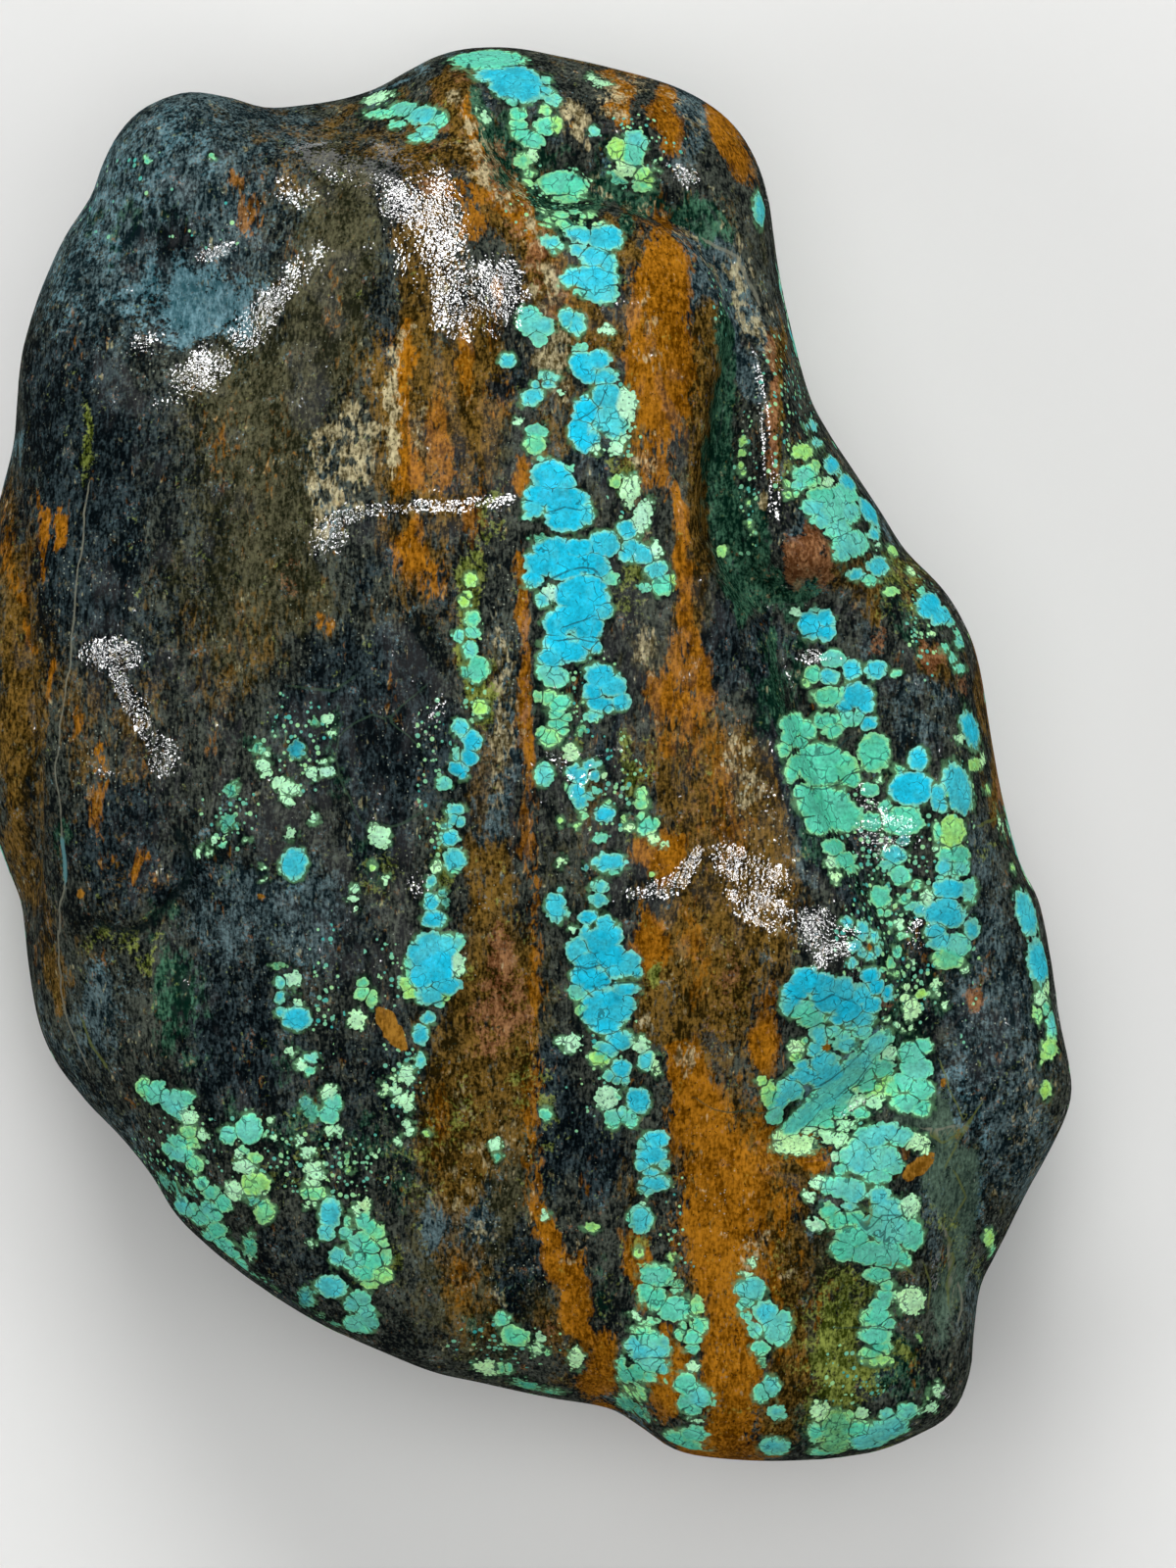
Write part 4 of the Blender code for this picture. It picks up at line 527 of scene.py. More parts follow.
# ---- host rock zones ---------------------------------------------------------------------------------------------
# Strokes on the plan for each kind of host rock; a few black and green strokes are painted shade in the right-hand
# groove and under the chipped edge on the left. "e u v half-width half-height turn strength" is an ellipse, and
# "l strength u v half-width u v half-width ..." is a band through its stations.
ZONES = {
    "slate": """
l .8 690 232 8 730 266 9 762 312 9 784 366 8; e 640 205 26 8 8 .5;
e 240 925 54 60 0 .85; e 96 1035 26 50 0 .8; e 465 1255 36 54 0 .95; e 700 110 26 60 15 .9; e 722 300 26 70 0 1.2; e 600 470 26 34 0 .7; e 505 770 24 120 0 .8;
e 826 880 20 30 -30 .6; e 745 655 28 40 0 .4; e 560 120 30 30 0 .6; e 460 150 30 10 0 .3; e 575 640 20 30 0 .5;
e 165 215 125 130 0 .9; e 100 290 70 80 0 .8; e 270 130 70 35 0 .7; l .9 60 260 26 110 150 30 170 110 26 230 105 20;
e 300 930 55 70 0 .8; e 240 960 60 110 0 .5; e 1010 1060 60 160 -6 .75; e 960 1120 30 60 0 .6; e 985 960 22 60 0 .7;
e 1040 1180 40 60 15 .7; l 1 705 240 18 725 280 20 740 330 14 770 400 10; e 715 310 16 40 0 .9; e 835 540 26 26 0 .7; e 735 655 18 34 0 .8;
e 940 720 40 50 -20 .6; e 880 650 26 30 0 .5; e 330 480 22 60 -4 .55; e 390 690 60 70 0 .4; e 1000 880 22 60 -8 .6;
e 215 1000 50 60 0 .45; e 960 1250 40 70 0 .55; e 1000 1330 24 50 0 .6; l .6 40 1050 14 90 1120 16 140 1180 16;
""",
    # Painted shade: the black band l .8 from (738, 340) to (800, 628) runs along the floor of the right-hand groove to
    # darken it as shade.
    "black": """
e 450 590 22 34 0 .6;
l .5 486 112 7 506 152 8 540 184 8 600 214 7 650 232 7;
e 806 1226 14 20 0 .8; e 480 585 16 24 0 .4; e 225 700 60 30 -40 .35;
e 392 340 12 44 0 .7; e 335 400 12 16 0 .4; e 345 520 14 26 0 .5; e 372 500 10 30 0 .6; e 610 500 8 20 0 .4;
e 375 690 70 44 0 1; e 385 850 40 50 0 .9;  l .8 738 340 6 735 420 7 733 500 7 745 566 8 783 608 7 800 628 6; e 250 850 40 30 -30 .5;
e 700 1190 8 30 0 .3; e 745 650 22 44 0 .8; e 350 960 50 60 0 .6;
e 392 765 48 70 0 1.15;  e 245 1070 48 66 0 1.1; e 568 1130 26 80 0 1; e 525 1310 20 18 0 .9; e 240 1000 60 90 0 .6; e 200 900 40 40 0 .7;
l 1.3 776 640 11 782 712 12 794 782 12 816 840 13 845 886 13 878 932 12 897 980 10; e 176 905 40 26 -40 .9; e 500 95 14 26 0 .8; e 520 150 16 30 0 .8;
e 90 520 70 190 0 .9; e 60 420 46 110 0 .85; e 350 735 74 60 -35 1; e 120 860 60 90 0 .8; e 80 380 50 60 0 .8; e 140 470 50 90 0 .6; e 1000 1100 40 120 -6 .45; e 980 1200 40 60 0 .5; e 725 300 16 50 0 .25; e 470 600 20 40 0 .5; e 410 760 70 90 0 .85; e 240 1060 60 110 0 .7;
e 330 1130 70 90 0 .6; e 385 580 30 28 0 .7; e 385 300 14 60 0 .6; e 180 245 26 34 0 .7; e 455 465 16 34 0 .7;
e 595 1165 44 56 0 .95; e 622 758 18 18 0 1; e 600 690 20 18 0 .6; e 725 1065 24 44 0 .5; e 540 1290 44 40 0 .7;
e 905 1395 24 36 0 .9; e 400 1090 40 60 0 .6; e 190 1200 40 50 40 .6; e 150 640 60 60 0 .6; e 800 660 10 40 0 .6;
e 520 385 26 20 0 .7; e 615 490 10 24 0 .8; e 880 860 26 40 0 .7; e 925 960 30 50 0 .75; e 930 1040 26 34 0 .7;
e 975 1030 22 26 0 .6; e 190 540 60 130 0 .45; e 300 1290 60 60 30 .6; e 240 1300 60 26 35 .5; e 980 1180 18 40 0 .6;
e 735 650 22 40 0 .7; e 900 945 30 36 0 .5; e 815 655 36 12 0 .9; e 905 700 30 24 0 .5; e 150 440 60 70 0 .5;
e 925 1430 24 20 0 .5; e 1040 1130 20 60 0 .4; e 130 1060 40 40 0 .4; e 290 160 60 24 20 .5; e 590 760 40 24 0 .5;
""",
    "olive": """
e 840 1365 26 60 0 .8; e 1052 1130 28 80 10 .6; e 1036 1200 24 60 20 .5; e 765 250 16 60 -20 .5;
e 846 1320 30 60 0 .9; e 255 640 66 42 -42 1; e 180 640 50 50 0 .6; e 690 560 10 60 0 .6;
e 490 1180 44 90 0 1; e 470 1080 30 60 0 .5;
e 265 500 66 170 0 1.2; e 330 300 46 120 0 1; e 215 600 60 60 0 .8; e 300 600 44 60 -35 .9; e 815 1440 30 40 0 .6; e 700 530 12 120 0 .6;
e 270 480 70 150 0 1; e 340 260 46 130 0 1; e 260 610 70 60 0 .8; e 250 660 60 40 -30 .6; e 215 420 46 60 0 .7;
e 720 500 14 160 0 .7; e 500 715 30 60 0 .8; e 500 800 20 60 0 .5; l .6 716 360 12 710 450 16 706 560 16; e 500 450 30 60 0 .6; e 660 660 30 40 0 .6;
e 840 1380 44 90 0 .9; e 835 1300 30 60 0 .7; e 800 1420 30 60 0 .5; e 890 1410 30 40 0 .4; e 555 1030 22 60 0 .6;
e 485 1240 72 150 0 1; e 520 1120 30 60 0 .8; e 560 1320 30 60 0 .6; e 660 1010 14 40 0 .8; e 940 1300 30 50 0 .5; e 580 880 40 60 0 .4;
e 600 480 40 90 0 .4; e 110 960 40 40 0 .4; e 700 1130 40 8 0 .5; e 440 1150 36 80 0 .5; e 820 330 16 60 -10 .5;
""",
    "brown": """
e 1058 1140 20 70 10 .3; e 560 170 40 14 30 .5;
l 1.1 792 1250 12 803 1300 14 806 1360 14 800 1440 18; e 796 1440 20 50 0 1; e 700 1000 20 60 0 .6; e 425 560 46 36 0 .7; e 215 695 56 36 -40 .35; e 150 745 56 56 0 .3; e 310 625 46 26 -42 .5;
e 122 890 40 46 -20 .6; e 100 800 40 60 0 .5;
e 480 760 14 120 0 .45; e 235 205 26 30 0 .45; e 365 130 60 16 0 .5; e 400 112 30 10 0 .6; e 610 850 18 60 0 .5;
e 740 1240 60 130 0 .75; e 712 420 14 90 0 1; e 500 660 16 60 0 .5; e 470 700 16 60 0 .5; e 900 1180 20 12 0 .6; e 635 250 14 40 0 .8; e 430 330 30 40 0 .8;
l 1.3 456 88 14 474 124 22 496 172 24 526 206 24 550 250 24 562 292 24; e 472 402 46 64 0 1.05; e 428 250 34 60 0 .8; e 424 440 46 50 0 .95; e 490 400 34 80 0 1;
e 566 300 40 44 0 1; e 612 345 26 50 0 .9; e 450 540 60 24 0 .5; e 640 440 18 50 0 .7; e 735 1000 44 70 0 1; e 760 905 50 90 0 1.1; e 505 1010 30 60 0 1;
e 826 1375 20 60 0 .4; e 670 1040 20 60 0 .9; e 780 1200 50 60 0 1; e 690 960 40 50 0 1; e 40 760 20 90 0 .6; e 640 250 30 14 20 .8;
e 90 760 90 200 0 .36; e 130 870 60 80 0 .42; e 225 660 80 60 -35 .45; e 120 700 60 60 0 .5; e 430 600 60 50 0 .5;
e 740 900 66 150 0 1; e 700 1010 60 100 0 .9; e 770 820 40 90 0 .8; e 700 780 50 70 0 .8; e 470 350 50 60 0 .5;
l .9 470 95 18 485 130 26 500 180 28 540 230 32 570 290 30 620 330 20; e 440 160 50 30 25 .8; e 350 140 50 16 8 .6;
l .8 720 330 12 725 430 12 705 560 16 700 640 16; e 560 440 26 30 0 .5; l .8 790 330 8 795 430 8 790 480 10;
e 500 1020 50 80 0 .9; e 470 1140 50 100 0 .95; e 530 1060 26 120 0 .95; e 500 900 34 60 0 .8; e 400 370 50 60 0 .7; e 440 470 60 70 0 .8; e 470 260 30 50 0 .5; e 480 1310 50 60 0 .6; e 430 1100 16 60 0 .5; e 500 830 30 120 0 .45; e 440 1150 34 60 0 .5; e 640 1180 20 60 0 .5; e 800 1250 40 60 0 .6;
e 20 700 26 190 0 .8; l .7 20 860 18 45 930 12 60 1020 10; e 50 620 18 60 0 .5; e 885 600 14 36 -20 .7;
l .9 1000 640 12 1012 740 12 1018 820 10; e 955 680 12 44 -20 .8; e 580 1350 30 60 0 .6; e 815 1200 40 30 0 .7;
e 640 300 40 60 0 .6; e 930 590 20 30 -40 .5; e 905 1100 14 10 0 .3; e 280 170 40 30 0 .5; e 560 130 20 40 0 .35;
e 620 60 60 16 12 .5; e 560 400 40 50 0 .45; e 660 1430 40 30 0 .5; e 610 1400 30 30 0 .7; e 1000 1000 16 26 0 .5;
e 775 1060 20 60 0 .6; e 300 120 80 12 0 .4; e 860 590 30 24 20 .6; e 590 140 14 20 0 .5; e 700 1120 30 12 0 .4;
""",
    "ochre": """
e 838 1345 14 36 0 .5;
l .6 786 1290 6 798 1340 7 800 1400 7; e 140 886 18 7 -10 .7; e 104 756 8 12 0 .8; e 84 740 6 12 0 .5;
l .9 474 112 10 492 168 12 522 206 14 546 240 12; e 470 380 14 40 0 .7; e 412 390 9 60 0 .8; e 505 300 12 50 0 .5; e 742 134 15 44 -22 1; e 676 128 15 32 0 1;
e 632 92 16 24 0 .9; e 664 960 22 36 0 .9; l 1 690 1075 11 702 1112 20 714 1150 26; e 733 1235 50 100 0 .85; e 680 1380 17 60 0 1.15; e 782 1064 14 20 0 .95;
e 830 1184 30 13 0 .8; e 652 1290 14 40 0 .8; e 566 300 12 30 0 .5; e 760 1400 28 90 0 .7; e 728 1470 44 20 0 1;
e 672 350 33 120 0 1.2; e 668 470 22 50 0 .7; l .8 690 500 8 694 580 7 700 640 8 712 700 14; e 695 700 36 40 0 .8;
e 745 1400 32 110 0 1; e 740 1230 60 110 0 .7; e 700 1130 30 60 0 .6; e 790 1250 40 40 0 .6; e 800 1170 60 14 0 .6;
e 670 870 30 28 0 1.1; l .95 556 1226 10 566 1262 18 580 1300 18 590 1345 13; e 612 1400 16 40 0 .9; l .5 543 960 6 546 1100 7 550 1230 9; e 480 1290 30 40 0 .35; e 690 1395 20 40 0 .9;
e 670 1440 20 26 0 .5; e 700 760 40 30 0 .5; e 730 840 40 60 0 .4; e 700 960 40 40 0 .4;
l .9 420 330 8 416 380 12 414 440 14 424 500 12; e 450 450 12 50 0 .6; e 395 340 10 50 0 .4; e 337 300 10 40 0 .42;
e 470 210 30 20 0 .7; e 424 572 30 34 0 .75; e 490 505 30 40 0 .4; e 415 560 26 20 0 .6; e 235 190 10 28 0 .5;
e 255 220 12 20 0 .5; l .75 531 560 8 534 620 9 533 700 10 536 780 8; l .5 536 780 8 545 860 8 545 1000 9;
e 535 485 10 26 0 .8; e 600 1100 60 12 0 .2; e 100 790 10 40 0 .5; e 245 470 30 60 0 .3; e 215 440 20 40 0 .3;
l .8 47 500 6 46 540 7 42 590 6; l .8 58 520 5 62 570 5; e 30 650 8 16 0 .7; e 55 690 7 14 0 .7; e 104 755 8 12 0 .7;
e 140 880 26 8 0 .6;   
e 10 570 12 70 0 .5; e 535 1170 10 60 0 .6; e 440 1160 20 40 0 .4; e 640 1260 10 30 0 .4; e 748 160 14 40 -20 .6;
e 676 130 14 30 0 .5; e 630 100 16 24 0 .4; 
 e 330 640 18 12 -30 .6; e 890 1292 40 5 -30 .6; e 500 420 26 40 0 .5; e 785 1060 14 40 0 .5;
e 560 260 20 14 0 .4; e 580 300 20 14 0 .5; e 690 1290 20 60 0 .5; e 560 1240 14 20 0 .6; e 715 1480 50 12 0 .5;
e 780 1480 30 14 0 .6; e 590 90 8 10 0 .3; e 960 1300 10 30 0 .3; e 655 1220 10 30 0 .4; e 610 330 24 18 0 .4;
""",
    "rust": """
e 560 290 22 22 0 .3; e 448 130 20 16 20 .35;
e 560 292 26 34 0 .5; e 300 600 20 14 -40 .3;
e 512 1000 15 52 0 .7; e 545 245 16 30 0 .6; e 508 185 14 20 0 .5; e 800 575 8 10 0 .4; e 900 1010 20 16 0 .3;
e 828 575 28 22 20 1.1; l .8 782 340 6 790 400 6 788 460 8; e 510 1030 34 50 0 .6; e 575 267 14 10 0 .6;
l .6 536 600 4 534 700 5 532 760 5; e 954 670 9 34 -25 .8; e 990 1012 12 14 0 .7; e 898 640 10 22 -10 .5;
 l .6 1003 660 5 1012 740 5 1020 820 4;
e 500 170 22 30 -30 .5; e 540 240 30 20 30 .45; e 468 80 12 14 0 .5; e 440 180 24 16 0 .4; e 570 1370 10 20 0 .4;
e 980 690 10 20 0 .5; e 720 830 30 30 0 .25; e 740 1000 30 60 0 .3; e 835 558 30 9 20 .7;
""",
    # The green band l 1 from (737, 330) to (830, 607) is partly the rock's green and partly painted shade on the
    # right-hand groove's wall; the ellipse at (165, 945) is a painted shadow below the chipped edge on the left.
    "green": """
e 775 700 10 60 0 .6;
l 1.15 488 105 12 500 150 18 522 182 22 556 204 16 600 214 12; e 545 160 24 24 0 .6; l 1.1 640 208 12 690 214 14 735 236 10; e 120 235 50 34 0 .4; e 915 1395 26 30 0 .7; e 640 60 14 8 0 .3;
l 1 737 330 10 738 400 14 734 470 17 740 540 20 760 600 22 790 612 16 830 607 12; l .9 765 595 14 775 560 12 768 500 10;
l .8 492 120 10 502 160 16 530 190 22 560 205 14; e 590 210 20 24 0 .5; l .9 620 195 14 660 205 16 700 215 16 740 240 10;
e 620 160 22 22 0 .5; e 660 120 20 20 0 .3; e 165 945 20 18 -35 .5; e 182 1018 30 40 0 .9; e 190 1080 26 30 0 .4;
e 265 760 40 20 0 .5; e 345 760 10 40 0 .6; e 790 700 9 60 0 1; e 795 760 8 60 -14 .9; e 820 850 10 50 -25 .6;
e 900 930 30 40 0 .5; e 915 1000 20 40 0 .6; e 920 1050 24 20 0 .6; e 890 890 30 24 0 .4; e 410 1200 16 60 0 .5;
e 380 1170 26 30 0 .5; e 300 1160 40 14 0 .5; e 560 740 16 50 0 .4; e 380 880 16 40 0 .4; e 850 1465 40 26 0 .8;
e 210 870 30 20 0 .4; e 600 360 30 30 0 .1; e 290 1080 16 30 0 .5; e 240 1150 30 20 0 .5; e 66 850 5 30 0 .6;
e 815 690 12 40 0 .6; e 905 590 30 20 0 .35; e 950 1010 14 24 0 .6; e 500 1350 30 14 0 .5; e 525 1310 30 8 0 .4;
e 930 640 14 40 -25 .5; e 985 720 10 60 -10 .4; e 520 130 12 30 0 .6; e 560 170 30 20 0 .5; e 830 1150 50 8 -35 .3;
e 160 230 50 30 0 .25; e 120 170 20 30 0 .2; e 800 620 40 10 0 .6; e 640 1330 14 50 0 .35; e 615 1320 12 40 0 .45;
""",
    "tan": """
l .62 462 96 7 484 136 9 500 178 10 532 214 9 552 240 8; l .45 600 197 6 665 212 6 700 240 7 738 280 8 766 322 8 786 376 6; e 560 290 24 28 0 .6; e 660 650 16 40 0 .5; e 506 720 13 90 0 .5; e 775 300 10 50 -20 .3;
e 756 270 12 60 -24 .3; e 1050 1120 18 60 10 .25;
e 402 432 16 40 0 .7; e 436 440 10 34 0 .5;
e 352 470 22 50 0 .45; e 400 400 8 60 0 .5; e 455 300 10 40 0 .35;
e 664 340 16 50 0 .25; e 570 360 24 30 0 .5; e 500 150 18 40 0 .4; e 340 480 24 44 0 .5; e 700 1085 8 30 0 .5; e 760 1290 6 50 0 .5; e 632 92 14 24 0 .5; e 345 430 24 14 0 .4;
e 490 150 30 40 0 .36; e 560 290 26 44 0 .42; e 530 220 20 30 0 .3; e 505 725 26 60 0 .3; e 660 650 14 44 0 .4; e 370 440 20 30 0 .4;
e 470 1180 44 70 0 .22; e 515 1290 34 60 0 .24; e 460 1110 20 30 0 .24; e 520 720 20 60 0 .3; e 520 1180 30 60 0 .2;
l .7 398 350 10 402 400 14 398 470 10; e 345 440 26 22 -30 .55; l .6 326 440 9 322 480 9 328 530 8;
l .6 352 420 12 360 460 12 352 500 10; e 585 125 14 20 0 .8; e 565 365 22 20 0 .7; e 570 340 24 12 0 .6; e 605 345 14 8 0 .5;
e 662 470 12 20 0 .4; l .6 648 460 6 652 520 8 664 560 8; e 625 100 14 20 0 .6; e 760 785 18 24 0 .5; e 415 340 14 10 0 .5;
e 600 150 12 10 0 .5; e 690 1010 12 14 0 .3; e 560 310 20 10 0 .4; e 775 500 5 10 0 .9; e 640 90 26 20 0 .4;
e 690 120 24 16 20 .3; l .5 5 470 6 8 540 6; e 800 1290 20 16 0 .3; e 640 340 16 10 0 .3; e 660 640 10 30 0 .3;
e 590 1260 22 8 0 .4; e 950 1160 20 5 -40 .4; e 770 1270 20 10 0 .5; e 648 830 8 30 0 .3; e 660 1060 10 20 0 .5;
""",
    "teal": """
e 205 315 46 30 -25 1; e 100 240 30 50 0 .35;
e 120 190 60 60 0 .36; e 60 300 30 50 0 .32; e 190 150 50 30 0 .32;
e 205 310 54 44 -20 .95; e 240 285 40 26 -20 .6; e 150 310 50 26 0 .5; l .8 8 460 14 2 520 12; e 925 1240 30 30 0 .2;
l 1 800 1150 9 835 1125 16 870 1085 22 905 1055 12; e 845 1110 40 18 -40 1.1; e 855 1095 34 22 -42 1.1;
e 480 60 30 12 0 .5; e 170 130 40 26 0 .4; e 970 1130 30 60 0 .35; e 1000 1200 20 60 10 .4; e 900 520 26 30 0 .3;
e 620 180 10 12 0 .6; e 820 550 20 12 20 .3; e 400 85 40 8 -18 .5; e 110 1000 30 26 0 .3; e 440 55 26 10 -20 .4;
e 960 1190 20 30 0 .4; e 300 1010 18 40 0 .35; e 235 810 20 14 0 .3; e 220 840 26 20 0 .2; e 300 881 16 18 0 .3;
e 640 1440 26 12 0 .5; e 840 1240 20 16 0 .4; e 420 640 26 20 0 .2; e 790 300 12 40 -8 .2; e 880 1065 26 14 -30 .6;
""",
    "moss": """
e 850 1335 26 46 0 .55; e 848 1440 30 36 0 .85; e 832 1400 24 40 0 .55;
e 475 1120 20 50 0 .45; e 530 1110 12 24 0 .5; e 640 520 12 26 0 .5; e 705 395 5 60 0 .2;
e 850 1385 32 74 0 .8; e 868 1408 32 26 0 .9; e 972 1264 9 36 -10 .8; e 958 1232 7 22 20 .5; e 890 1470 40 10 0 .5;
l .8 478 575 14 478 640 12 488 700 16 486 740 10; e 630 480 20 16 0 .7; e 645 510 16 30 0 .5; 
e 672 985 9 18 0 .8; e 870 1310 26 30 0 .6; e 850 1375 24 34 0 .45; e 905 1385 24 20 0 .6; e 640 590 20 30 0 .5;
e 885 1410 30 16 0 .5; e 460 870 20 30 0 .6; e 425 1180 40 60 0 .4; e 380 1290 26 30 0 .6; 
e 650 790 14 30 0 .6; e 980 1250 10 50 -14 .6; e 965 1300 12 40 0 .5; l .6 975 1150 5 985 1190 6 965 1240 6;
e 90 450 8 44 0 .7; e 130 965 40 14 0 .6; e 920 600 26 30 0 .5; e 1003 870 20 12 -30 .4; e 800 1330 20 40 0 .35;
e 820 470 26 20 0 .5; e 560 1130 16 40 0 .4; e 500 530 16 20 0 .5; e 490 560 12 30 0 .6; e 550 90 10 16 0 .4;
 e 860 1440 40 12 0 .5; e 620 1330 12 30 0 .3; e 650 1270 16 20 0 .5; e 465 980 16 20 0 .4;
e 385 890 26 26 0 .4; e 320 1180 30 30 0 .3; e 260 1190 40 30 0 .35; e 585 770 14 12 0 .6; e 650 845 20 12 0 .5;
""",
    "pocked": """
e 436 232 46 62 20 1; e 470 300 34 38 0 1; e 512 298 22 42 0 1; e 345 172 50 16 25 .8; e 395 195 40 26 30 .9; e 402 160 26 12 20 .6; e 500 215 18 26 0 .6;
e 262 328 70 16 -50 1; e 226 366 34 15 -42 .9; e 202 380 46 20 -38 .95; e 145 352 14 14 0 .9; e 134 292 8 10 0 .8; e 222 258 20 8 -15 1.2; e 300 195 22 20 0 .5;
e 112 668 32 15 0 1; l 1 117 682 8 134 716 10 150 742 10 168 768 12; e 166 778 16 14 0 .9; e 110 790 16 6 0 .7; e 335 550 18 30 30 1;
l .9 342 528 7 400 516 6 460 517 7 520 511 7; l 1 644 914 7 668 908 10 694 898 12 712 868 6; e 772 918 34 13 20 .9; e 765 885 40 16 22 1; e 838 952 34 24 35 1;
e 785 815 10 20 -10 .2; e 860 988 28 26 0 .9; e 775 420 10 60 0 .9; e 790 500 8 30 0 .6; e 830 600 26 6 10 .9; e 905 850 34 26 0 .7;
e 880 815 14 14 0 .6; e 940 950 18 30 0 .6; e 835 668 30 8 0 .9; e 800 700 8 30 0 .6; e 905 745 20 16 0 .5; e 700 178 20 13 0 1;
e 895 1090 16 14 0 1; e 880 1130 24 10 -10 .8; e 560 778 26 12 0 .35; e 590 800 12 12 0 .6; e 446 728 10 14 0 .5; e 430 902 12 14 0 .6;
e 600 770 34 8 0 .6; e 780 940 30 14 20 .6; e 610 330 6 30 0 .3; e 330 260 10 40 0 .35; e 870 960 16 34 0 .7; 
e 960 1420 10 8 0 .5; e 955 1300 6 20 0 .5; e 810 1075 8 20 0 .3; e 720 420 6 40 0 .3;
""",
    "glass": """
e 955 1150 26 44 0 1; e 985 1215 22 50 0 1; e 950 1210 16 34 0 .9; e 975 1285 20 50 8 .8; e 958 1330 18 40 0 .7; e 925 1150 14 20 0 .6;
""",
    "dust": """
e 300 762 34 50 0 .8; e 235 835 26 30 0 .7; e 410 1095 22 38 0 .8; e 350 1190 44 30 0 .7; e 265 1175 50 38 0 .7; e 330 1010 16 60 0 .6;
e 905 890 30 50 0 1; e 880 965 22 40 0 1; e 925 1010 30 30 0 .9; e 600 705 26 44 0 .7; e 625 800 26 40 0 .8; e 640 470 16 60 0 .5;
e 560 200 34 30 0 .5; e 660 150 34 30 0 .6; e 800 420 26 70 0 .5; e 940 640 14 50 0 .5; e 870 1400 30 40 0 .5; e 520 1370 50 20 0 .6;
e 690 1290 14 70 0 .4; e 440 800 14 70 0 .6; e 845 1150 40 14 0 .8; e 480 690 10 70 0 .8; e 985 850 8 70 0 .6; e 765 500 12 70 0 .5;
e 735 300 10 40 0 .2; e 950 900 20 60 0 .5; e 870 830 30 20 0 .6; e 190 1190 50 60 40 .5; e 850 1110 30 20 -40 .4; e 620 1060 20 60 0 .4;
e 130 200 60 50 0 .07; e 220 230 30 30 0 .1; e 395 1000 20 40 0 .5; e 600 1120 20 30 0 .3; e 990 1010 10 60 0 .4;
""",
    "quartz": """
e 420 800 60 120 0 .35; e 780 870 60 60 0 .5; e 790 930 40 60 0 .4; e 100 600 60 60 0 .5; e 150 370 50 50 0 .5;
e 520 720 26 200 0 .45; e 520 1250 60 120 0 .4; e 470 910 30 60 0 .5; e 620 860 60 60 0 .3; e 1020 1100 50 160 -6 .4;
e 960 760 40 60 0 .4; e 400 1000 60 80 0 .3; e 250 240 50 60 0 .4; e 350 640 60 40 0 .4; e 110 760 60 40 0 .5;
e 760 780 26 30 0 .9; e 780 830 30 60 0 .6; e 770 420 10 60 0 .9; e 800 600 14 40 0 .6; e 740 1240 40 50 0 .4;
e 760 1280 30 20 0 .6; e 830 640 30 30 0 .5; e 300 1000 30 60 0 .4; e 320 350 60 30 0 .3; e 440 740 14 40 0 .7;
""",
}

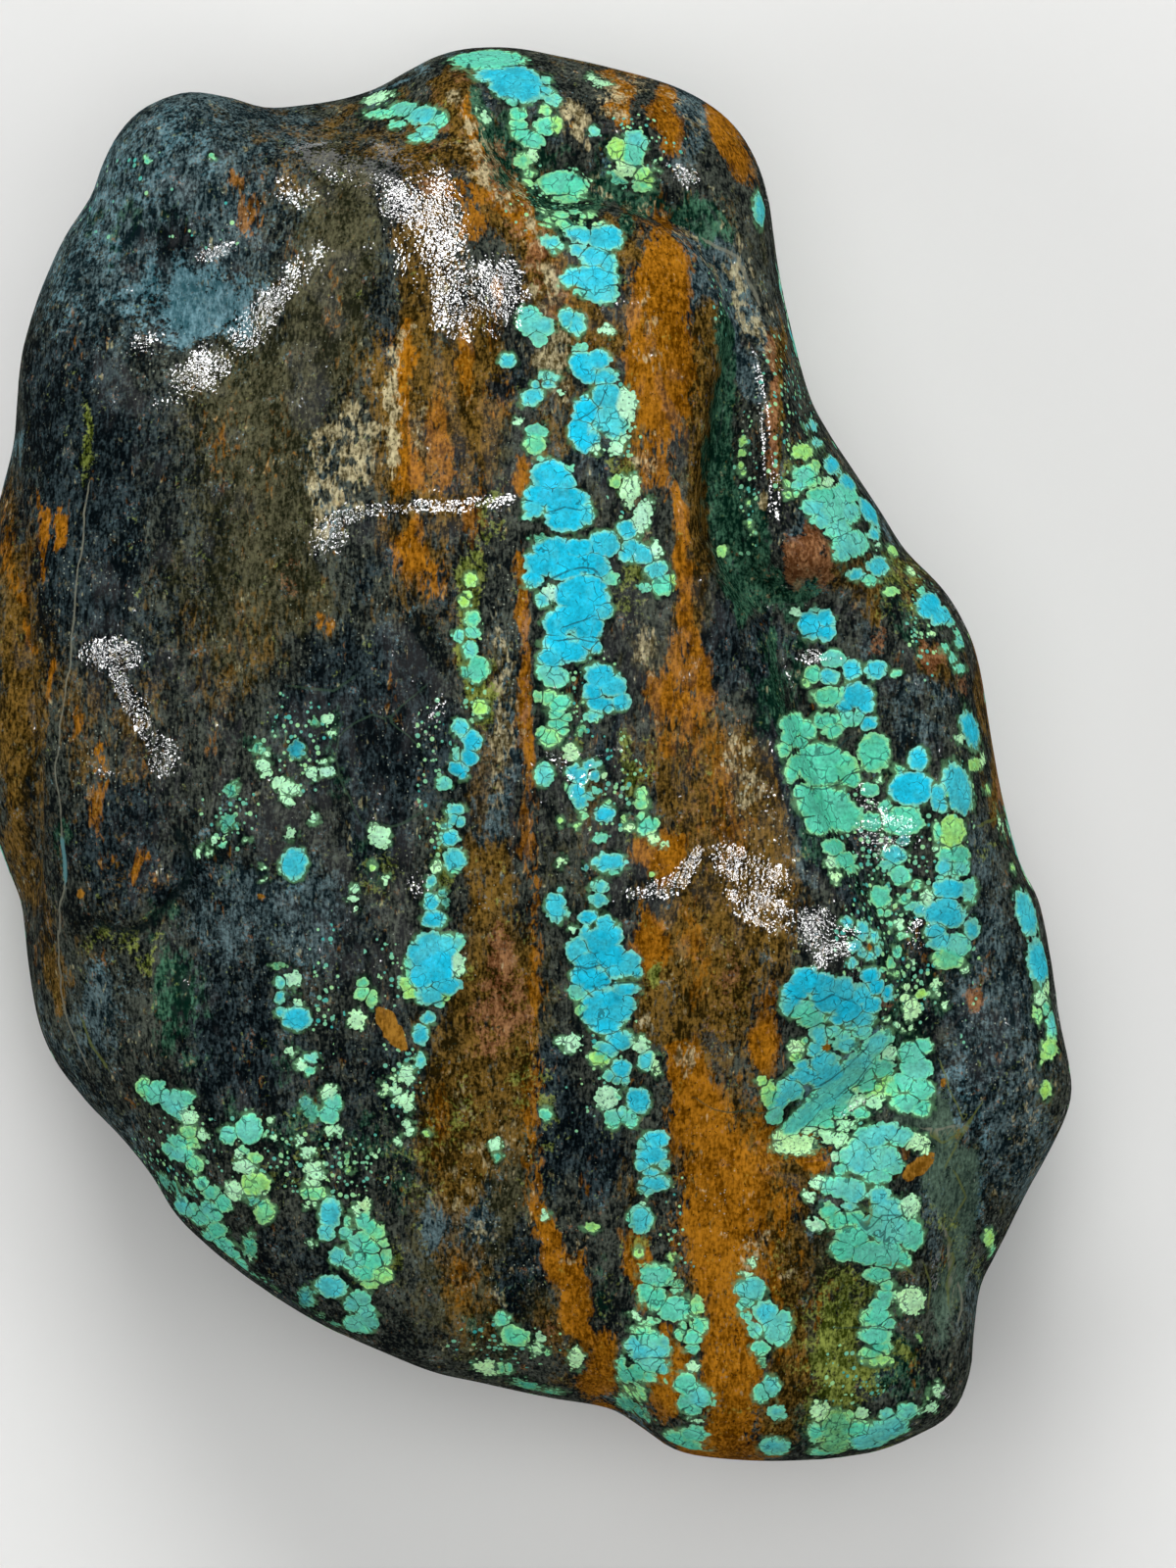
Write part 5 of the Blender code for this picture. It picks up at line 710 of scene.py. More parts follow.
# Thin drawn lines: veins, creases and fine cracks, and two painted marks: the black line along the chipped edge on the
# left is a painted shadow, and a pale line on the right-hand groove's lip is a painted sheen. kind, half-width in plan
# units, stations u v ...
VEINS_AND_PAINTED_LIGHT = [
    ("pale", 0.8, "92 494 86 525 84 548 81 575 76 610 71 680 62 740 57 785 60 815 64 855"),
    ("blue", 1.8, "64 855 67 880 66 900"),
    ("pale", 0.8, "66 900 61 930 60 960 61 990 64 1020 69 1042 77 1062 90 1092"),
    ("moss", 1.2, "84 1040 96 1070 110 1090"),
    ("green", 0.9, "395 735 380 730 362 738 345 752 342 775 349 800 362 824 374 845"),
    ("green", 0.8, "395 735 412 748 430 764"), ("green", 0.8, "395 735 410 720 434 700"),
    ("green", 1.2, "376 842 400 844 415 838 432 826"), ("green", 1.1, "362 690 340 705 300 700"),
    ("green", 0.8, "712 1122 726 1131 744 1136 762 1133 778 1136 790 1131"), ("pale", 1.2, "945 1152 975 1150"),
    ("moss", 0.9, "965 1190 978 1165 988 1150 1000 1125"), ("moss", 0.8, "985 1150 978 1130 968 1110 961 1085"),
    ("moss", 1.4, "888 1225 888 1240 884 1250"), ("moss", 1.4, "930 1300 918 1288 905 1292"),
    ("moss", 1.5, "1002 842 1024 832 1040 824"), ("moss", 1.1, "950 1158 962 1166 976 1160 990 1142"),
    ("moss", 1.0, "966 1258 974 1286 964 1308 968 1332"), ("moss", 1.0, "976 1198 986 1222 974 1242"), ("moss", 0.9, "944 1290 950 1310 946 1336"), 
    ("pale", 1.2, "965 1255 968 1290 972 1320"), ("pale", 1.0, "975 1300 982 1330 978 1350"),
    
    # A painted sheen: pale line along the right lip of the right-hand groove.
    ("pale", 1.6, "720 245 752 262 775 310"), 
    # A painted shadow: black line along the chipped edge on the left, where the brown sheet's edge shades the rock
    # below.
    ("black", 4.5, "183 850 188 862 192 885 189 902 175 922 158 940 140 954 118 952 98 944"),
    ("dark", 1.1, "553 598 562 592 575 586 580 583 592 580 605 582 612 588"), ("dark", 1.0, "617 1005 630 1002 648 1003"),
    ("dark", 1.0, "585 985 592 986 598 988 606 986 612 983"), ("dark", .9, "620 990 621 997 622 1003"),
    ("dark", .8, "575 640 590 636 604 630"), ("dark", .8, "570 655 590 652 606 654"), ("dark", .9, "852 1355 880 1354 908 1356"),
    ("dark", .8, "870 1240 880 1252 896 1262 910 1262"), ("dark", .8, "890 1250 900 1240 918 1240"),
    ("dark", .8, "560 522 575 516 592 520"), ("dark", .7, "588 430 600 424 612 412 618 398"),
    ("dark", .7, "800 765 822 772 848 768 868 752"), ("dark", .7, "812 800 835 806 858 800 872 786"),
    ("dark", .8, "835 1108 860 1092 886 1066"), 
     ("dark", .7, "848 1122 872 1104 892 1080"),
     ("dark", .9, "812 1018 834 1022 850 1014 870 1022"),
    ("dark", .7, "905 1250 900 1270 912 1288"), ("dark", .8, "650 1386 668 1384 684 1386"),
]


# ---- fields on the surface ---------------------------------------------------------------------------------------
FRONT_TILT = (0.10, 0.30)  # the surface's upward lean over which the drawn nodules give way to the scattered ones
FIELD_FLOOR = -14.0  # plan units
GRADIENT_LIMIT = 4.0  # steepest lean that a drawn nodule follows

# Strings of nodules on the flanks and the underside follow the same upright seams as on the top: x in mm, spread in mm,
# hue, and how many knots each has.
SEAMS = [(-23.5, 1.6, 0.4, 3), (-14.0, 1.2, 0.35, 4), (-4.5, 0.9, 0.15, 4), (2.6, 1.6, 0.02, 6), (7.0, 1.0, 0.25, 4),
         (11.5, 0.9, 0.2, 4), (17.0, 2.2, 0.35, 7), (22.5, 1.4, 0.15, 5)]


def read_nodules():
    found = []
    for item in NODULES.replace("\n", " ").split(";"):
        words = [w.strip() for w in item.split(",")]
        if len(words) < 5:
            continue
        turn = 0.0
        if len(words) == 6:
            turn = math.radians(float(words[4].rstrip("r")))
        look = words[-1]
        pale, dim = float("p" in look), float("d" in look)
        hue = float(look.rstrip("pd"))
        cu, cv, ru, rv = (float(w) for w in words[:4])
        found.append((cu, cv, ru, rv, turn, hue, pale, dim))
    # Greener towards the foot and a little towards the brow.
    return [(u, v, ru, rv, t, hue + (0.15 * min(max((v - 1120) / 140, 0), 1) + 0.09 * min(max((370 - v) / 60, 0), 1)) * (hue < 0.42), pale, dim)
            for u, v, ru, rv, t, hue, pale, dim in found]


def scattered_nodules(points, normals):
    """Knots of nodules along the seams of the flanks and the underside: centre in mm, radius in mm, hue, pale, dim."""
    dice = np.random.default_rng(11)
    side = np.nonzero(normals[:, 2] < 0.12)[0]
    found = []
    for x, spread, hue, knots in SEAMS:
        near = side[np.abs(points[side, 0] - x) < spread * 2.2]
        if not len(near):
            continue
        order = near[np.argsort(np.arctan2(points[near, 2] - 8.0, points[near, 1]))]
        for k in range(knots):
            heart = points[order[int((k + dice.uniform(0.2, 0.8)) / knots * len(order)) % len(order)]]
            knot_hue = float(np.clip(hue + dice.normal(0, 0.15), 0, 0.9))
            size = dice.uniform(0.6, 1.5)
            for _ in range(int(dice.integers(12, 34))):
                off = np.array([dice.normal(0, 0.55 * spread), dice.normal(0, 1.5 * size), dice.normal(0, 1.2 * size)])
                place = heart + off
                radius = float(np.clip(abs(dice.normal(0.28, 0.16)) * (0.6 + 0.4 * size), 0.12, 0.75))
                fade = float(np.linalg.norm(off) / (2.2 * size))
                found.append((place, radius, float(np.clip(knot_hue + 0.25 * fade + dice.normal(0, 0.06), 0, 1)),
                              float(dice.random() < 0.2 + 0.3 * fade), 0.0))
    # Loose ones at the upper flank and low down.
    for _ in range(150):
        place = points[side[int(dice.integers(len(side)))]]
        found.append((place, float(dice.uniform(0.1, 0.3)), float(dice.uniform(0.2, 0.8)), float(dice.random() < 0.5), 0.0))
    tree = KDTree(len(side))
    for i, s in enumerate(side):
        tree.insert(Vector(points[s]), i)
    tree.balance()
    settled = []
    for place, radius, hue, pale, dim in found:
        at, _, far = tree.find(Vector(place))
        if far < 2.5:
            settled.append((np.array(at), radius, hue, pale, dim))
    return settled


def nodule_fields(points, normals):
    """Four interleaved height fields of the nodules (plan units, + inside), and the look of the highest one."""
    u, v = seen_at(points)
    drawn = read_nodules()
    lean = np.clip((normals[:, 2] - FRONT_TILT[0]) / (FRONT_TILT[1] - FRONT_TILT[0]), 0, 1)
    lean = lean * lean * (3 - 2 * lean)
    up = np.nonzero(normals[:, 2] > 0.02)[0]
    up_u, up_v = u[up], v[up]
    plan = KDTree(len(up))
    for i in range(len(up)):
        plan.insert(Vector((up_u[i], up_v[i], 0)), i)
    plan.balance()
    centres, sizes, made = [], [], []
    for cu, cv, ru, rv, turn, hue, pale, dim in drawn:
        _, i, _ = plan.find(Vector((cu, cv, 0)))
        here = up[i]
        n = normals[here]
        grow = UNITS_PER_MM * SIGHT_HEIGHT / (SIGHT_HEIGHT - (points[here, 2] - SIGHT_LEVEL))
        flat = max(n[2], 0.12)
        right = float(np.clip(-n[0] / flat, -GRADIENT_LIMIT, GRADIENT_LIMIT)) / grow
        down = float(np.clip(n[1] / flat, -GRADIENT_LIMIT, GRADIENT_LIMIT)) / grow
        z0 = points[here, 2] + right * (cu - up_u[i]) + down * (cv - up_v[i])
        centres.append(np.array([*on_level(cu, cv, z0), z0]))
        sizes.append(max(ru, rv) / UNITS_PER_MM)
        made.append((cu, cv, ru, rv, turn, hue, pale, dim, z0, right, down))
    scattered = scattered_nodules(points, normals)
    for place, radius, *_ in scattered:
        centres.append(place)
        sizes.append(radius)
    centres, sizes = np.array(centres), np.array(sizes)
    channel = np.zeros(len(centres), dtype=int)
    for i in range(len(centres)):
        if i == 0:
            continue
        gap = np.linalg.norm(centres[:i] - centres[i], axis=1) - sizes[:i] - sizes[i]
        room = [gap[channel[:i] == k].min() if (channel[:i] == k).any() else 9.0 for k in range(4)]
        channel[i] = int(np.argmax([min(r, 0.4) + 0.001 * k for k, r in enumerate(room)]))
    dice = np.random.default_rng(4)
    tint = dice.uniform(-1, 1, len(centres))
    fields = np.full((4, len(points)), FIELD_FLOOR)
    best = np.full(len(points), FIELD_FLOOR * 3)
    look = np.zeros((len(points), 4))
    look[:, 0] = 0.3
    for i in range(len(centres)):
        if i < len(made):
            cu, cv, ru, rv, turn, hue, pale, dim, z0, right, down = made[i]
            reach = max(ru, rv) + 20
            near = np.nonzero((np.abs(u - cu) < reach) & (np.abs(v - cv) < reach) & (lean > 0))[0]
            if not len(near):
                continue
            du, dv = u[near] - cu, v[near] - cv
            c, s = math.cos(turn), math.sin(turn)
            a, b = (du * c + dv * s) / ru, (-du * s + dv * c) / rv
            away = (points[near, 2] - z0 - right * du - down * dv) * UNITS_PER_MM / (2.4 * max(ru, rv))
            swell = 2.0 * min(max((min(ru, rv) - 4.0) / 8.0, 0.0), 1.0)
            value = (1 - np.sqrt(a * a + b * b + away * away)) * min(ru, rv) + swell - (1 - lean[near]) * 18
        else:
            place, radius, hue, pale, dim = scattered[i - len(made)]
            near = np.nonzero((np.abs(points - place) < radius + 0.9).all(axis=1))[0]
            if not len(near):
                continue
            far = np.linalg.norm((points[near] - place), axis=1)
            value = (radius - far) * UNITS_PER_MM + 0.6 - lean[near] * 18
        value = np.maximum(value, FIELD_FLOOR)
        k = channel[i]
        fields[k][near] = np.maximum(fields[k][near], value)
        win = value > best[near]
        best[near[win]] = value[win]
        look[near[win]] = (hue, pale, dim, tint[i])
    return fields, look


def stroke_weight(u, v, text):
    """The strength 0..1 of one kind of rock at plan stations."""
    weight = np.zeros(len(u))
    for item in text.replace("\n", " ").split(";"):
        words = item.split()
        if not words:
            continue
        numbers = [float(w) for w in words[1:]]
        if words[0] == "e":
            cu, cv, ru, rv, turn, strength = numbers
            c, s = math.cos(math.radians(turn)), math.sin(math.radians(turn))
            a, b = ((u - cu) * c + (v - cv) * s) / ru, (-(u - cu) * s + (v - cv) * c) / rv
            r = np.sqrt(a * a + b * b)
        else:
            strength = numbers[0]
            d, _, (width,) = along(u, v, [tuple(numbers[k : k + 3]) for k in range(1, len(numbers), 3)])
            r = d / width
        weight = np.maximum(weight, strength * np.clip((1.42 - r) / 0.84, 0, 1))
    return weight


def rock_fields(points):
    """The weight of each kind of rock. The seams run on through the stone, wandering as they go down."""
    u, v = seen_at(points)
    pocked = stroke_weight(u + 3 * value_noise(points / 1.1, seed=41), v + 3 * value_noise(points / 0.9, seed=42), ZONES["pocked"])
    dust = stroke_weight(u + 4 * value_noise(points / 0.8, seed=43), v + 4 * value_noise(points / 0.8, seed=44), ZONES["dust"])
    depth = np.clip((16.0 - points[:, 2]) / 14.0, 0, 1)
    q = points / 7.0
    u = u + depth * 70 * value_noise(q, seed=31) + depth * depth * 40
    v = v + depth * 160 * value_noise(q + 5.0, seed=32) - depth * depth * 120
    # Small wander of every border.
    fine = points / 1.6
    long = points / np.array([1.1, 4.0, 3.0])
    u = u + 7 * value_noise(long, seed=37) + 5 * value_noise(fine, seed=33) + 3 * value_noise(fine * 2.3, seed=35)
    v = v + 24 * value_noise(long * 1.3, seed=38) + 12 * value_noise(fine * 1.5, seed=34)
    weights = {kind: stroke_weight(u, v, text) for kind, text in ZONES.items()}
    weights["pocked"] = pocked
    weights["dust"] = dust * (1 - depth * 0.6)
    return weights


# Sharp-edged lenses and chips of orange rock: u, v, half-width, half-height, turn in degrees.
LENSES = [(399, 1050, 26, 9.5, 56), (394, 1040, 13, 9, 35), (937, 1191, 20, 8, -38),
          (963, 1105, 3.5, 6, 0), (978, 1158, 3, 6, 0), (843, 1068, 4.5, 7, 0), (887, 966, 3.5, 3.5, 0),
          (970, 864, 3.5, 5, 0), (585, 127, 3.5, 4.5, 0), (267, 915, 4, 3, 0), (690, 597, 3, 6, 0), (82, 912, 4, 5, 0)]


def lens_field(points, normals):
    """Height field of the lenses in plan units, + inside."""
    u, v = seen_at(points)
    field = np.full(len(u), -19.0)
    for cu, cv, ru, rv, turn in LENSES:
        c, s = math.cos(math.radians(turn)), math.sin(math.radians(turn))
        a, b = ((u - cu) * c + (v - cv) * s) / ru, (-(u - cu) * s + (v - cv) * c) / rv
        field = np.maximum(field, (1 - np.sqrt(a * a + b * b)) * min(ru, rv))
    return np.where(normals[:, 2] > 0.1, field, -19.0)


# The black colour paints only the shadow along the chipped edge; pale serves both real veins and the painted sheen on
# the groove's lip.
VEIN_AND_PAINTED_LIGHT_COLOURS = {"pale": (0.20, 0.20, 0.15), "blue": (0.12, 0.30, 0.32), "moss": (0.12, 0.14, 0.035),
                "green": (0.03, 0.06, 0.035), "black": (0.004, 0.010, 0.010), "dark": (0.012, 0.045, 0.045)}


def vein_fields(points, normals):
    """Signed distance to the nearest drawn line over its half-width, how near it is, and its colour."""
    u, v = seen_at(points)
    u = u + 1.6 * value_noise(points / 0.7, seed=41)
    v = v + 1.6 * value_noise(points / 0.7, seed=42)
    best = np.full(len(u), 40.0)
    signed = np.full(len(u), 20.0)
    colour = np.zeros((len(u), 3))
    for kind, half, text in VEINS_AND_PAINTED_LIGHT:
        numbers = [float(w) for w in text.split()]
        stations = [(numbers[k], numbers[k + 1], half) for k in range(0, len(numbers), 2)]
        d, side, _ = along(u, v, stations)
        near = d < best
        best[near] = d[near]
        signed[near] = (d * side / half)[near]
        colour[near] = VEIN_AND_PAINTED_LIGHT_COLOURS[kind]
    presence = np.clip((9.0 - best) / 4.0, 0, 1) * np.clip(normals[:, 2] / 0.15, 0, 1)
    return signed, presence, colour


# ---- the stone ---------------------------------------------------------------------------------------------------
def turned_down(d):
    """Directions crowded towards the top, so that the shown side has the finer grid."""
    polar = np.arccos(np.clip(d[:, 2], -1, 1))
    flat = np.hypot(d[:, 0], d[:, 1])
    flat = np.where(flat < 1e-12, 1.0, flat)
    polar = polar * (0.62 + 0.04754 * polar**2 - 0.000916 * polar**4)
    polar = np.minimum(polar, math.pi)
    return np.stack([d[:, 0] / flat * np.sin(polar), d[:, 1] / flat * np.sin(polar), np.cos(polar)], axis=1)


# The crease under the edge of the brown sheet on the left, sunk in the relief; its black line is a painted shadow: u,
# v, and a spare.
CREASE = [(186, 868, 0), (191, 886, 0), (188, 902, 0), (175, 922, 0), (158, 940, 0), (140, 953, 0), (118, 951, 0), (98, 943, 0)]


def stone_mesh():
    bm = bmesh.new()
    bmesh.ops.create_cube(bm, size=2.0)
    bmesh.ops.subdivide_edges(bm, edges=bm.edges[:], cuts=SEGMENTS - 1, use_grid_fill=True)
    bm.verts.ensure_lookup_table()
    bm.verts.index_update()
    bmesh.ops.recalc_face_normals(bm, faces=bm.faces[:])
    cube = np.tan(np.array([v.co for v in bm.verts]) * math.pi / 4)
    directions = turned_down(cube / np.linalg.norm(cube, axis=1, keepdims=True))
    quads = np.array([[v.index for v in f.verts] for f in bm.faces])
    points = base_surface(directions)
    normal = normals_of(points, quads)
    points = points + relief(points, normal, WAVES)
    normal = normals_of(points, quads)
    fields, look = nodule_fields(points, normal)
    rock = rock_fields(points)
    signed, presence, colour = vein_fields(points, normal)
    top = fields.max(axis=0)
    # Nodules stand a little proud of the softer rock, and the crease under the painted black shadow line is sunk.
    proud = np.clip((top + 1.0) / 6.0, 0, 1)
    calm = np.clip(np.abs(normal[:, 2]) / 0.4, 0.3, 1)
    push = 0.06 * proud * proud * (3 - 2 * proud)
    from_crease, _, _ = along(*seen_at(points), CREASE)
    push = push - 0.28 * np.exp(-((from_crease / 9.0) ** 2))
    fine = points * np.array([1.3, 0.7, 1.0])
    push += (0.012 * value_noise(fine / 0.55, seed=51) + 0.007 * value_noise(fine / 0.3, seed=52)) * (1 - 0.5 * proud)
    points = points + normal * (push * calm)[:, None]
    z = points[:, 2]
    points[:, 2] = np.where(z < 1.0, 0.5 * (z + np.sqrt(z * z + 0.01)), z)
    for v, p in zip(bm.verts, points):
        v.co = Vector(p) / 1000.0
    mesh = bpy.data.meshes.new("turquoise_stone")
    bm.to_mesh(mesh)
    bm.free()

    def paint(name, *columns):
        layer = mesh.attributes.new(name, "FLOAT_COLOR", "POINT")
        data = np.stack([np.broadcast_to(c, len(points)) for c in columns], axis=1).astype(np.float32)
        layer.data.foreach_set("color", data.ravel())

    paint("nodule_fields", *((f - FIELD_FLOOR) / 40.0 for f in fields))
    paint("nodule_look", look[:, 0], look[:, 1], look[:, 2], 0.5 + 0.5 * look[:, 3])
    paint("rock_a", rock["slate"], rock["black"], rock["olive"], rock["brown"])
    paint("rock_b", rock["ochre"], rock["rust"], rock["green"], rock["tan"])
    paint("rock_c", rock["teal"], rock["moss"], rock["quartz"], rock["glass"])
    # These lines carry veins and cracks, plus a painted shadow along the chipped edge and a painted sheen on the
    # groove's lip.
    paint("vein", colour[:, 0], colour[:, 1], colour[:, 2], presence)
    side = np.clip(0.6 - normal[:, 2] * 2, 0, 1)
    worn = np.clip((value_noise(points / 4.0, seed=61) + 0.5 * value_noise(points / 1.7, seed=62) - 0.15) / 0.35, 0, 1)
    pocked = np.maximum(rock["pocked"] * (1 - side), worn * side * 0.5)
    paint("line", np.clip(signed, -12, 12) / 24 + 0.5, pocked, lens_field(points, normal) / 40 + 0.5, rock["dust"])
    return mesh


# ---- material ----------------------------------------------------------------------------------------------------
class Graph:
    """Short names for building a node tree."""

    def __init__(self, tree):
        self.tree = tree

    def node(self, kind, **settings):
        n = self.tree.nodes.new(kind)
        for key, value in settings.items():
            setattr(n, key, value)
        return n

    def feed(self, socket, value):
        if isinstance(value, bpy.types.NodeSocket):
            self.tree.links.new(value, socket)
        elif value is not None:
            socket.default_value = value

    def math(self, op, a, b=None, c=None, clamp=False):
        n = self.node("ShaderNodeMath", operation=op, use_clamp=clamp)
        for socket, value in zip(n.inputs, (a, b, c)):
            self.feed(socket, value)
        return n.outputs[0]

    def step(self, x, low, high, to_low=0.0, to_high=1.0):
        n = self.node("ShaderNodeMapRange", interpolation_type="SMOOTHSTEP")
        for name, value in zip(("Value", "From Min", "From Max", "To Min", "To Max"), (x, low, high, to_low, to_high)):
            self.feed(n.inputs[name], value)
        return n.outputs[0]

    def mix(self, factor, a, b, blend="MIX"):
        n = self.node("ShaderNodeMix", data_type="RGBA", blend_type=blend, clamp_factor=True)
        self.feed(n.inputs[0], factor)
        self.feed(n.inputs[6], a)
        self.feed(n.inputs[7], b)
        return n.outputs[2]

    def vector(self, op, a, b=None, scale=None):
        n = self.node("ShaderNodeVectorMath", operation=op)
        self.feed(n.inputs[0], a)
        self.feed(n.inputs[1], b)
        if scale is not None:
            self.feed(n.inputs["Scale"], scale)
        return n.outputs[0]

    def split(self, colour):
        n = self.node("ShaderNodeSeparateColor")
        self.feed(n.inputs[0], colour)
        return n.outputs[0], n.outputs[1], n.outputs[2]

    def noise(self, vector, scale, detail=2.0, rough=0.55, distortion=0.0):
        n = self.node("ShaderNodeTexNoise")
        self.feed(n.inputs["Vector"], vector)
        for name, value in (("Scale", scale), ("Detail", detail), ("Roughness", rough), ("Distortion", distortion)):
            self.feed(n.inputs[name], value)
        return n.outputs[0], n.outputs[1]

    def cells(self, vector, scale, feature="F1", randomness=1.0):
        n = self.node("ShaderNodeTexVoronoi", feature=feature)
        self.feed(n.inputs["Vector"], vector)
        self.feed(n.inputs["Scale"], scale)
        self.feed(n.inputs["Randomness"], randomness)
        return n

    def attribute(self, name):
        n = self.node("ShaderNodeAttribute", attribute_type="GEOMETRY", attribute_name=name)
        return n.outputs["Color"], n.outputs["Alpha"]


def srgb(r, g, b):
    def one(c):
        c = c / 255.0
        return c / 12.92 if c <= 0.04045 else ((c + 0.055) / 1.055) ** 2.4

    return (one(r), one(g), one(b), 1.0)


# Each kind of rock: its dark and light grain.
ROCKS = {
    "base": (srgb(9, 14, 15), srgb(82, 88, 78), 0.41, 0.67),
    "olive": (srgb(25, 27, 15), srgb(92, 90, 66), 0.40, 0.66),
    "slate": (srgb(12, 25, 29), srgb(99, 121, 124), 0.41, 0.67),
    "black": (srgb(4, 9, 12), srgb(64, 80, 84), 0.43, 0.70),
    "brown": (srgb(30, 23, 4), srgb(128, 98, 42), 0.40, 0.65),
    "ochre": (srgb(79, 45, 0), srgb(176, 116, 28), 0.36, 0.67),
    "rust": (srgb(84, 50, 26), srgb(160, 116, 78), 0.39, 0.66),
    "green": (srgb(4, 30, 21), srgb(72, 118, 92), 0.42, 0.67),
    "tan": (srgb(78, 68, 38), srgb(206, 194, 152), 0.40, 0.65),
    "teal": (srgb(42, 80, 88), srgb(118, 156, 166), 0.36, 0.68),
    "moss": (srgb(44, 54, 10), srgb(144, 156, 74), 0.41, 0.67),
    "glass": (srgb(32, 47, 41), srgb(98, 122, 104), 0.34, 0.74),
}


def stone_material():
    m = bpy.data.materials.new("polished_turquoise_in_matrix")
    m.use_nodes = True
    g = Graph(m.node_tree)
    shader = m.node_tree.nodes["Principled BSDF"]
    where = g.node("ShaderNodeTexCoord").outputs["Object"]
    mm = g.vector("SCALE", where, scale=1000.0)
    # Fibres run down the sheet and lean a little.
    lean = g.node("ShaderNodeMapping")
    g.feed(lean.inputs["Vector"], mm)
    lean.inputs["Rotation"].default_value = (0.0, 0.0, math.radians(-14))
    lean.inputs["Scale"].default_value = (1.0, 0.38, 0.6)
    upright = lean.outputs[0]
    slant = g.node("ShaderNodeMapping")
    g.feed(slant.inputs["Vector"], mm)
    slant.inputs["Rotation"].default_value = (0.0, 0.0, math.radians(38))
    slant.inputs["Scale"].default_value = (1.0, 0.3, 0.6)
    slanted = slant.outputs[0]

    fine, fine_rgb = g.noise(mm, 6.0, 1.0, 0.6)
    mid, mid_rgb = g.noise(mm, 1.1, 2.0, 0.6)
    fibre, fibre_rgb = g.noise(upright, 4.6, 1.0, 0.65, 0.7)
    scratch, _ = g.noise(slanted, 7.0, 1.0, 0.6)
    blotch, blotch_rgb = g.noise(upright, 0.55, 2.0, 0.6)
    fine_r, fine_g, fine_b = g.split(fine_rgb)
    mid_r, mid_g, mid_b = g.split(mid_rgb)
    fib_r, fib_g, fib_b = g.split(fibre_rgb)
    blot_r, blot_g, blot_b = g.split(blotch_rgb)

    # ---- host rock
    slate_etc, brown_w = g.attribute("rock_a")
    slate_w, black_and_painted_shade_w, olive_w = g.split(slate_etc)
    ochre_etc, tan_w = g.attribute("rock_b")
    ochre_w, rust_w, green_and_painted_shade_w = g.split(ochre_etc)
    teal_etc, glass_w = g.attribute("rock_c")
    teal_w, moss_w, quartz_w = g.split(teal_etc)

    grain = g.math("MULTIPLY_ADD", fib_r, 0.32, g.math("MULTIPLY", fine_r, 0.26))
    grain = g.math("MULTIPLY_ADD", scratch, 0.22, grain)
    grain = g.math("MULTIPLY_ADD", mid_r, 0.20, grain)
    grain = g.math("MULTIPLY_ADD", g.math("SUBTRACT", blot_r, 0.5), 0.26, grain)

    def rock(kind):
        dark, light, low, high = ROCKS[kind]
        return g.mix(g.step(grain, low, high), dark, light)

    colour = rock("base")
    # The black and green layers also lay painted shade into the right-hand groove and a painted shadow below the
    # chipped edge on the left.
    order = [("olive", olive_w, mid_g, fib_g), ("slate", slate_w, mid_b, fine_g), ("brown", brown_w, blot_g, fib_b),
             ("black", black_and_painted_shade_w, mid_g, fine_b), ("teal", teal_w, mid_r, fine_g), ("green", green_and_painted_shade_w, mid_b, fib_g),
             ("ochre", ochre_w, blot_b, fib_g), ("rust", rust_w, mid_r, fine_b), ("tan", tan_w, mid_b, fib_g),
             ("moss", moss_w, mid_g, fine_r), ("glass", glass_w, blot_g, fine_b)]
    for kind, weight, slow, quick in order:
        push = g.math("MULTIPLY_ADD", g.math("SUBTRACT", slow, 0.5), 1.6, g.math("MULTIPLY", weight, 0.95))
        push = g.math("MULTIPLY_ADD", g.math("SUBTRACT", quick, 0.5), 1.3, push)
        amount = g.math("MULTIPLY", g.step(push, 0.34, 0.62), g.step(weight, 0.2, 0.85, 0.6, 1.0))
        colour = g.mix(amount, colour, rock(kind))

    # Pale flecks everywhere, thick in the quartz-rich parts, and small dark pits.
    flecks = g.cells(mm, 4.2)
    fleck_r, fleck_g, _ = g.split(flecks.outputs["Color"])
    fleck_size = g.math("MULTIPLY_ADD", quartz_w, 0.22, 0.05)
    rare = g.math("GREATER_THAN", g.math("MULTIPLY_ADD", quartz_w, 0.35, fleck_r), 0.86)
    fleck = g.math("MULTIPLY", g.step(flecks.outputs["Distance"], g.math("ADD", fleck_size, 0.08), fleck_size), rare)
    colour = g.mix(g.math("MULTIPLY", fleck, 0.55), colour, srgb(170, 178, 160))
    pits = g.math("MULTIPLY", g.step(fine_g, 0.36, 0.30), g.step(fib_b, 0.56, 0.42))
    colour = g.mix(g.math("MULTIPLY", pits, 0.75), colour, srgb(14, 14, 11))

